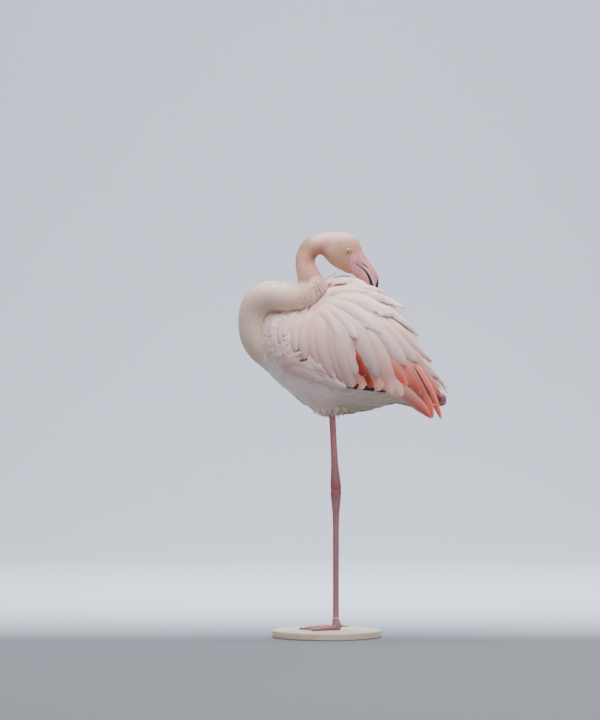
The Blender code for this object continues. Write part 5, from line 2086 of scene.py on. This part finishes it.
@dataclass
class Eye:
    """An eyeball and the lids round it."""

    form: NeckForm
    side: Side
    opening: tuple[float, float] = (6.4, 3.7)
    tilt: float = -16.0
    # How far out and how high each ring of the lids is, as shares of the opening and millimetres
    profile: tuple = (
        (1.00, 0.12), (0.99, 0.5), (1.05, 0.85), (1.14, 0.95), (1.25, 0.8), (1.36, 0.45),
        (1.44, -0.3), (1.36, -1.6), (1.1, -1.2),
    )

    @property
    def word(self) -> str:
        """The eye's own side, which is not the body's: the head is turned back."""
        return Side(-self.side.value).word

    def _ball(self) -> None:
        """The eyeball, with the clear front bulged out."""
        centre, radius = metres(self.form.eye_centre(self.side)), self.form.eye_radius * MM
        deselect()
        bpy.ops.mesh.primitive_uv_sphere_add(
            segments=48, ring_count=24, radius=radius, location=centre, rotation=(math.pi / 2, 0, 0)
        )
        ball = bpy.context.active_object
        ball.name = f"eyeball_{self.word}"
        bpy.ops.object.transform_apply(location=True, rotation=True, scale=True)
        bpy.ops.object.shade_smooth()
        points = vertices(ball)
        out = (points - centre)[:, 1] * self.side.value / radius
        points[:, 1] += ease(0.72, 1.0, out) * 0.0005 * self.side.value
        move_vertices(ball, points)
        finish = EyeFinish(f"eye_{self.word}_gloss", tuple(centre)).build()
        dress(ball, finish, "eye", f"eye_{self.word}")

    def _lids(self, finish: Material, sides: int = 64) -> None:
        """The lids as one rounded rim that closes over the eyeball.

        Args:
            finish: Their material.
            sides: Points round the rim.
        """
        centre = self.form.eye_centre(self.side)
        radius = self.form.eye_radius
        spin = circle(sides)
        tilt = math.radians(self.tilt)
        rings = []
        for spread, height in self.profile:
            along = self.opening[0] * np.cos(spin) * spread
            up = self.opening[1] * np.sin(spin) * (spread + 0.25 * (spread - 1))
            x = along * math.cos(tilt) - up * math.sin(tilt)
            z = along * math.sin(tilt) + up * math.cos(tilt)
            out = np.sqrt(np.maximum((radius + height) ** 2 - x**2 - z**2, (0.15 * radius) ** 2))
            rings.append(np.stack([centre[0] + x, centre[1] + self.side.value * out, centre[2] + z], -1))
        count = len(rings)
        faces = grid_faces(count, sides, True)
        last = (count - 1) * sides
        faces += [(last + j, last + (j + 1) % sides, (j + 1) % sides, j) for j in range(sides)]
        obj = link(f"lids_{self.word}", metres(np.array(rings).reshape(-1, 3)), faces)
        face_outwards(obj)
        shade = ease(0, 4, np.arange(count))[:, None]
        set_tint(obj, np.repeat(blend((0.24, 0.11, 0.075), (0.68, 0.36, 0.26), shade), sides, 0))
        activate(obj)
        bpy.ops.object.shade_smooth()
        dress(obj, finish, "neck_plumage")

    def build(self, finish: Material) -> None:
        """Make the eyeball and its lids."""
        self._ball()
        self._lids(finish)


def leg_colours(points: Array) -> Array:
    """The legs' colour, brighter pink above and duller towards the floor, redder at the joints.

    Args:
        points: Points in millimetres.

    Returns:
        A colour for each point.
    """
    x, z = points[..., 0], points[..., 2]
    bright, dull = (0.54, 0.20, 0.215), (0.35, 0.16, 0.18)
    ankle = np.exp(-(((z - 312) / 26) ** 2))
    colours = blend(bright, dull, (1 - ease(330, 440, z))[..., None])
    colours = blend(colours, (0.34, 0.065, 0.08), (ankle * 0.7)[..., None])
    return blend(colours, (0.42, 0.12, 0.15), (ease(205, 232, x) * 0.7)[..., None])


@dataclass
class Leg:
    """A leg bone's skin, with low scutes down its front and swollen joints."""

    name: str
    rows: Rows
    node: str
    squash: float = 0.85
    scute: float = 6.5
    height: float = 0.28
    step: float = 1.1
    sides: int = 40

    def build(self, finish: Material) -> None:
        """Make the bone's skin.

        Args:
            finish: The scaled skin's material.
        """
        rows = smooth_rows(self.rows, 3)
        steps = travelled(rows[:, :3])
        even = np.arange(0, steps[-1], self.step)
        rows = np.stack([np.interp(even, steps, rows[:, i]) for i in range(4)], -1)
        surface = tube(rows, 1, self.sides, self.squash)
        tooth = np.mod(even / self.scute, 1.0)
        ridge = ease(0, 0.15, tooth) * (1 - 0.7 * tooth)
        front = np.maximum(0, np.abs(np.sin(circle(self.sides))) - 0.25) / 0.75
        raised = self.height * ridge[:, None] * front[None]
        surface.grid = surface.grid + raised[..., None] * surface.normals
        obj = surface.mesh(self.name)
        set_tint(obj, leg_colours(millimetres(vertices(obj))))
        activate(obj)
        bpy.ops.object.shade_smooth()
        dress(obj, finish, "leg_skin", self.node)


def bone(start: Sequence[float], end: Sequence[float], radius: float, joint: float, upright: bool) -> list:
    """Rows of a leg bone, swollen at the joint where it starts.

    Args:
        start: The joint's place.
        end: The other end.
        radius: The bone's radius.
        joint: The joint's radius.
        upright: Whether its first face is level.

    Returns:
        Rows of x, y, z and radius.
    """
    first, last = np.array(start, float), np.array(end, float)
    total = np.linalg.norm(last - first)
    swell = ((0, 0.86), (6, 1.0), (14, 0.94), (24, 0.72), (36, 0.5), (52, 0.22), (75, 0.06), (100, 0.0))
    shares = [(d / total, amount) for d, amount in swell if d < total * 0.8] + [(1.0, 0.0)]
    rows = []
    for share, amount in shares:
        centre = first + (last - first) * share
        if upright and len(rows) == 1:
            centre[:2] = first[:2]
        rows.append((*centre, radius + (joint - radius) * amount))
    return rows


@dataclass
class Foot:
    """A webbed foot with jointed toes and claws."""

    name: str
    node: str
    voxel: float = 0.0009
    toe_radius: float = 6.0
    angles: tuple[float, ...] = (-40, 0, 40)
    lengths: tuple[float, ...] = (78, 88, 78)
    claw: float = 9.0
    web_reach: float = 0.82
    pads: tuple[float, ...] = (1.0, 0.9, 0.98, 0.82, 0.92, 0.8, 0.84, 0.68, 0.5)

    def _toe(self, start: Array, ahead: Array, length: float, radius: float) -> Object:
        """A toe with its pads.

        Args:
            start: Where the toe leaves the foot.
            ahead: Its direction.
            length: Its length.
            radius: Its half width at the start.

        Returns:
            The toe.
        """
        rows = []
        for number, pad in enumerate(self.pads):
            share = number / (len(self.pads) - 1)
            thick = radius * pad * (1 - 0.22 * share)
            rows.append((*(start + ahead * (length - self.claw) * share + (0, 0, thick * 0.92)), thick))
        return tube(rows, 5, 28).mesh("toe")

    def _web(self, first: Array, second: Array, base: Array) -> Object:
        """The skin between two toes, hollow at its front edge.

        Args:
            first: The way from the base to one end of that edge.
            second: The way to its other end.
            base: Where the toes meet.

        Returns:
            The web.
        """
        edge = np.linspace(0, 1, 14)[:, None]
        front = blend(base + first, base + second, edge)
        front = front + (base - front) * 0.22 * 4 * edge * (1 - edge)
        low = np.vstack([base, front]) + (0, 0, 0.5)
        high = low + (0, 0, 2.5)
        count = len(low)
        faces = []
        for k in range(1, count - 1):
            faces += [(0, k, k + 1), (count, count + k + 1, count + k)]
        for k in range(count):
            after = (k + 1) % count
            faces.append((k, after, count + after, count + k))
        obj = link("web", metres(np.vstack([low, high])), faces)
        face_outwards(obj)
        return obj

    def _claws(self, tips: list, finish: Material) -> None:
        """The short blunt claws at the toes' ends.

        Args:
            tips: The toes' ends, directions and half widths.
            finish: The claws' material.
        """
        pieces = []
        for place, ahead, radius in tips:
            rows = []
            for share in (0, 0.3, 0.6, 0.85, 1.0):
                drop = np.array([0, 0, -(share**2) * radius * 0.75])
                thick = radius * (1 - share) ** 0.6 + 0.12
                rows.append((*(place + ahead * self.claw * share + drop), thick))
            pieces.append(tube(rows, 4, 20, 0.8).mesh("claw"))
        activate(*pieces)
        bpy.ops.object.join()
        pieces[0].name = f"{self.name}_claws"
        set_tint(pieces[0], np.tile((0.10, 0.07, 0.065), (len(pieces[0].data.vertices), 1)))
        bpy.ops.object.shade_smooth()
        dress(pieces[0], finish, "leg_skin")

    def _join(
        self, parts: list, tips: list, flat: bool, shade: float, finish: Material, horn: Material
    ) -> None:
        """Melt a foot's parts into one skin, and add its claws.

        Args:
            parts: The toes, webs and knob.
            tips: For each claw, its place, direction and radius.
            flat: Whether the soles lie on the base.
            shade: The share of the legs' colour that the foot has.
            finish: The skin's material.
            horn: The claws' material.
        """
        obj = melt(parts, self.name, self.voxel, 3)
        points = vertices(obj)
        if flat:
            points[:, 2] = np.maximum(points[:, 2], RISE * MM)
        move_vertices(obj, points)
        bpy.ops.object.shade_smooth()
        set_tint(obj, leg_colours(millimetres(points)) * shade)
        dress(obj, finish, "leg_skin", self.node)
        self._claws(tips, horn)

    def _heading(self, degrees: float) -> Array:
        """A level direction, by its angle from +X."""
        return np.array([math.cos(math.radians(degrees)), math.sin(math.radians(degrees)), 0])

    def build_standing(self, finish: Material, horn: Material) -> None:
        """The foot that carries the bird, its toes spread flat.

        Args:
            finish: The scaled skin's material.
            horn: The claws' material.
        """
        base = np.array([4.0, 0, 0])
        parts, tips, reaches = [], [], []
        for angle, length in zip(self.angles, self.lengths):
            ahead = self._heading(180 + angle)
            parts.append(self._toe(base, ahead, length, self.toe_radius))
            radius = self.toe_radius * 0.42
            tips.append((base + ahead * (length - self.claw - 1.5) + (0, 0, radius * 1.05), ahead, radius))
            reaches.append(ahead * length * self.web_reach)
        parts += [self._web(reaches[i], reaches[i + 1], base) for i in range(2)]
        ahead = self._heading(352)
        heel = base + (2, 0, 6)
        parts.append(self._toe(heel, ahead, 24, self.toe_radius * 0.55))
        tips.append((heel + ahead * 13.5 + (0, 0, 1.6), ahead, 1.5))
        knob = ((1, 0, 1, 9.3), (1.5, 0, 7, 10.3), (1, 0, 14, 9.3), (0, 0, 20, 7.6), (0, 0, 25, 6.9))
        parts.append(tube(knob, 6, 36, 0.95).mesh("knob"))
        self._join(parts, tips, True, 0.95, finish, horn)

    def build_folded(self, start: Array, finish: Material, horn: Material) -> None:
        """The tucked foot, its toes closed and hanging back.

        Args:
            start: Where the tarsus ends.
            finish: The scaled skin's material.
            horn: The claws' material.
        """
        ahead = unit(np.array([0.93, -0.16, -0.31]))
        parts, tips = [], []
        for number, length in zip((-1, 0, 1), (66, 78, 66)):
            rows = []
            for step, pad in enumerate((1.0, 0.86, 0.96, 0.78, 0.5)):
                share = step / 4
                spread = np.array([0.0, 7.0 * number * (0.5 + 0.5 * share), 3.0 * number * share])
                rows.append((*(start + ahead * (length - 6) * share + spread), self.toe_radius * pad))
            parts.append(tube(rows, 6, 24).mesh("toe"))
            tips.append((np.array(rows[-1][:3]) - ahead * 1.5, ahead, 2.4))
        knob = ((*(start - ahead * 9), 5), (*start, 8.5), (*(start + ahead * 10), 7.5))
        parts.append(tube(knob, 6, 28).mesh("knob"))
        self._join(parts, tips, False, 1.0, finish, horn)


@dataclass
class Legs:
    """The standing left leg and the tucked right leg."""

    ankle: tuple[float, float, float] = (0.0, -4.0, 310.0)
    tucked_ankle: tuple[float, float, float] = (235.0, 34.0, 505.0)
    tucked_toe_joint: tuple[float, float, float] = (-48.0, 78.0, 522.0)
    tucked_shank_root: tuple[float, float, float] = (92.0, 48.0, 532.0)
    spread: tuple[float, float, float] = (0.0, 5.0, -3.4)

    def build(self, skin: Material, claw: Material) -> None:
        """Make both legs and feet.

        Args:
            skin: The scaled skin's material.
            claw: The claws' material.
        """
        x, y, z = self.ankle
        tarsus = bone((x, y, z - 1), (0, 0, 25.3), 6.4, 11.4, True)
        shank = bone((x, y, z - 0.7), (-9, -14, 492), 6.9, 11.4, True)
        Leg("standing_tarsus", tarsus, "tarsus_left").build(skin)
        Leg("standing_shank", shank, "shank_left").build(skin)
        Foot("standing_foot", "foot_left").build_standing(skin, claw)
        ankle, apart = np.array(self.tucked_ankle), np.array(self.spread)
        tarsus = bone(ankle + apart, self.tucked_toe_joint, 6.4, 10.6, False)
        shank = bone(ankle - apart, self.tucked_shank_root, 6.9, 11.6, False)
        for reach, radius in ((5, 7.4), (7.6, 5), (8.8, 2)):
            tarsus.insert(0, (*(ankle + apart + (reach, 0, 0.4)), radius))
            shank.insert(0, (*(ankle - apart + (reach, 0, -0.4)), radius * 1.1))
        Leg("tucked_tarsus", tarsus, "tarsus_right").build(skin)
        Leg("tucked_shank", shank, "shank_right").build(skin)
        start = np.array(self.tucked_toe_joint) + (-4, -2, -1.5)
        Foot("tucked_foot", "foot_right", voxel=0.0012).build_folded(start, skin, claw)


@dataclass
class Base:
    """The flat round base."""

    radius: float = 120.0
    x: float = -20.0
    bevel: float = 3.0

    def build(self, finish: Material) -> None:
        """Turn the disc and ease its upper edge.

        Args:
            finish: The wood.
        """
        deselect()
        place = (self.x * MM, 0, BASE_THICKNESS * MM / 2)
        bpy.ops.mesh.primitive_cylinder_add(
            vertices=128, radius=self.radius * MM, depth=BASE_THICKNESS * MM, location=place
        )
        disc = bpy.context.active_object
        disc.name = "round_base"
        bpy.ops.object.transform_apply(location=True, rotation=True, scale=True)
        rounding = disc.modifiers.new("rounding", "BEVEL")
        rounding.width = self.bevel * MM
        rounding.segments = 5
        rounding.limit_method = "ANGLE"
        bpy.ops.object.modifier_apply(modifier="rounding")
        bpy.ops.object.shade_smooth_by_angle(angle=math.radians(35))
        dress(disc, finish, "base", "stand_base")


@dataclass
class Studio:
    """The pale floor, the soft lights and the camera."""

    aim: tuple[float, float, float] = (-0.079, 0.0, 0.594 + RISE * MM)
    camera_height: float = 0.85 + RISE * MM
    distance: float = 12.0
    frame_height: float = 1.584

    def _floor(self) -> None:
        """A floor that curves up into a backdrop."""
        front, bend, radius, top, side = -14.0, 3.0, 2.5, 9.0, 12.0
        profile = [(front, 0.0), (bend, 0.0)]
        for angle in np.linspace(0.15, math.pi / 2, 10):
            profile.append((bend + radius * math.sin(angle), radius - radius * math.cos(angle)))
        profile.append((bend + radius, top))
        points = [(x, y, z) for y, z in profile for x in (-side, side)]
        floor = link("floor", np.array(points), grid_faces(len(profile), 2, False))
        floor.data.materials.append(FloorFinish("floor_paint").build())
        floor.data.shade_smooth()

    def _aim(self, obj: Object, place: Sequence[float], aim: Sequence[float]) -> None:
        """Put a lamp or camera at a place, facing another."""
        obj.location = place
        obj.rotation_euler = (Vector(aim) - Vector(place)).to_track_quat("-Z", "Y").to_euler()

    def _light(
        self, name: str, place: Sequence[float], size: float, power: float, tint: Colour,
        aim: Sequence[float] = (0, 0, 0.65),
    ) -> None:
        """A soft square light that faces the bird or another place.

        Args:
            name: Its name.
            place: Where it hangs, in metres.
            size: Its side, in metres.
            power: Its power in watts.
            tint: Its colour.
            aim: The place that it faces.
        """
        data = bpy.data.lights.new(name, "AREA")
        data.size = size
        data.energy = power
        data.color = tint
        self._aim(add_object(name, data), place, aim)

    def _camera(self) -> None:
        """The camera at the photograph's angle."""
        data = bpy.data.cameras.new("camera")
        place = Vector((self.aim[0], -self.distance, self.camera_height))
        data.sensor_width = 36.0
        data.lens = 36.0 * (Vector(self.aim) - place).length / self.frame_height
        data.clip_end = 60.0
        camera = add_object("camera", data)
        self._aim(camera, place, self.aim)
        bpy.context.scene.camera = camera

    def build(self) -> None:
        """Set up the studio."""
        self._floor()
        self._camera()
        self._light("sky", (-0.2, -0.9, 4.6), 4.0, 430.0, (1.0, 0.98, 0.965))
        self._light("front", (-0.6, -5.0, 1.3), 3.0, 50.0, (1.0, 0.99, 0.98))
        self._light("rear", (3.2, -2.4, 2.7), 1.6, 62.0, (1.0, 0.985, 0.97), (0.2, 0, 0.65))
        self._light("back", (1.6, 3.0, 2.6), 2.4, 60.0, (0.97, 0.985, 1.0))
        self._light("wall", (0, 1.0, 2.6), 3.0, 1130.0, (0.93, 0.965, 1.0), (0, 5.0, 0.9))
        world = bpy.data.worlds.new("overcast")
        world.use_nodes = True
        background = world.node_tree.nodes["Background"]
        background.inputs["Color"].default_value = (0.80, 0.84, 0.90, 1)
        background.inputs["Strength"].default_value = 0.36
        bpy.context.scene.world = world


def main() -> None:
    """Build every piece in order."""
    form = NeckForm()
    soft = FeatherFinish("soft_feathers").build()
    short = FeatherFinish("short_feathers", fineness=2400.0, contrast=0.12, shaft=0.0002, relief=0.2).build()
    dark = FeatherFinish("black_feathers", roughness=0.5, sheen=0.0, glow=0.0).build()
    skin_finish = SkinFinish("skin_under_feathers").build()
    horn = SkinFinish("bill_horn", 0.38, glow=0.12, size=260, amount=0.18, relief=0.12, coat=0.1).build()
    lid_skin = SkinFinish("lid_skin", roughness=0.55, size=900, amount=0.3, relief=0.4, depth=0.0003).build()
    claw = SkinFinish("claw_horn", roughness=0.4, glow=0.0, size=700, amount=0.3).build()
    scales = ScaleFinish("leg_scales").build()

    Studio().build()
    skin = Skin(form)
    skin.build(skin_finish)
    ShortCoat(form, skin).build(short)
    BodyCoat(skin).build(soft)
    for side in Side:
        Wing(side).build(soft, dark)
        Eye(form, side).build(lid_skin)
    Tail().build(soft)
    Bill().build(horn)
    Legs().build(scales, claw)
    Base().build(WoodFinish("base_wood").build())


if __name__ == "__main__":
    logging.basicConfig(level=logging.INFO, format="%(name)s: %(message)s")
    main()
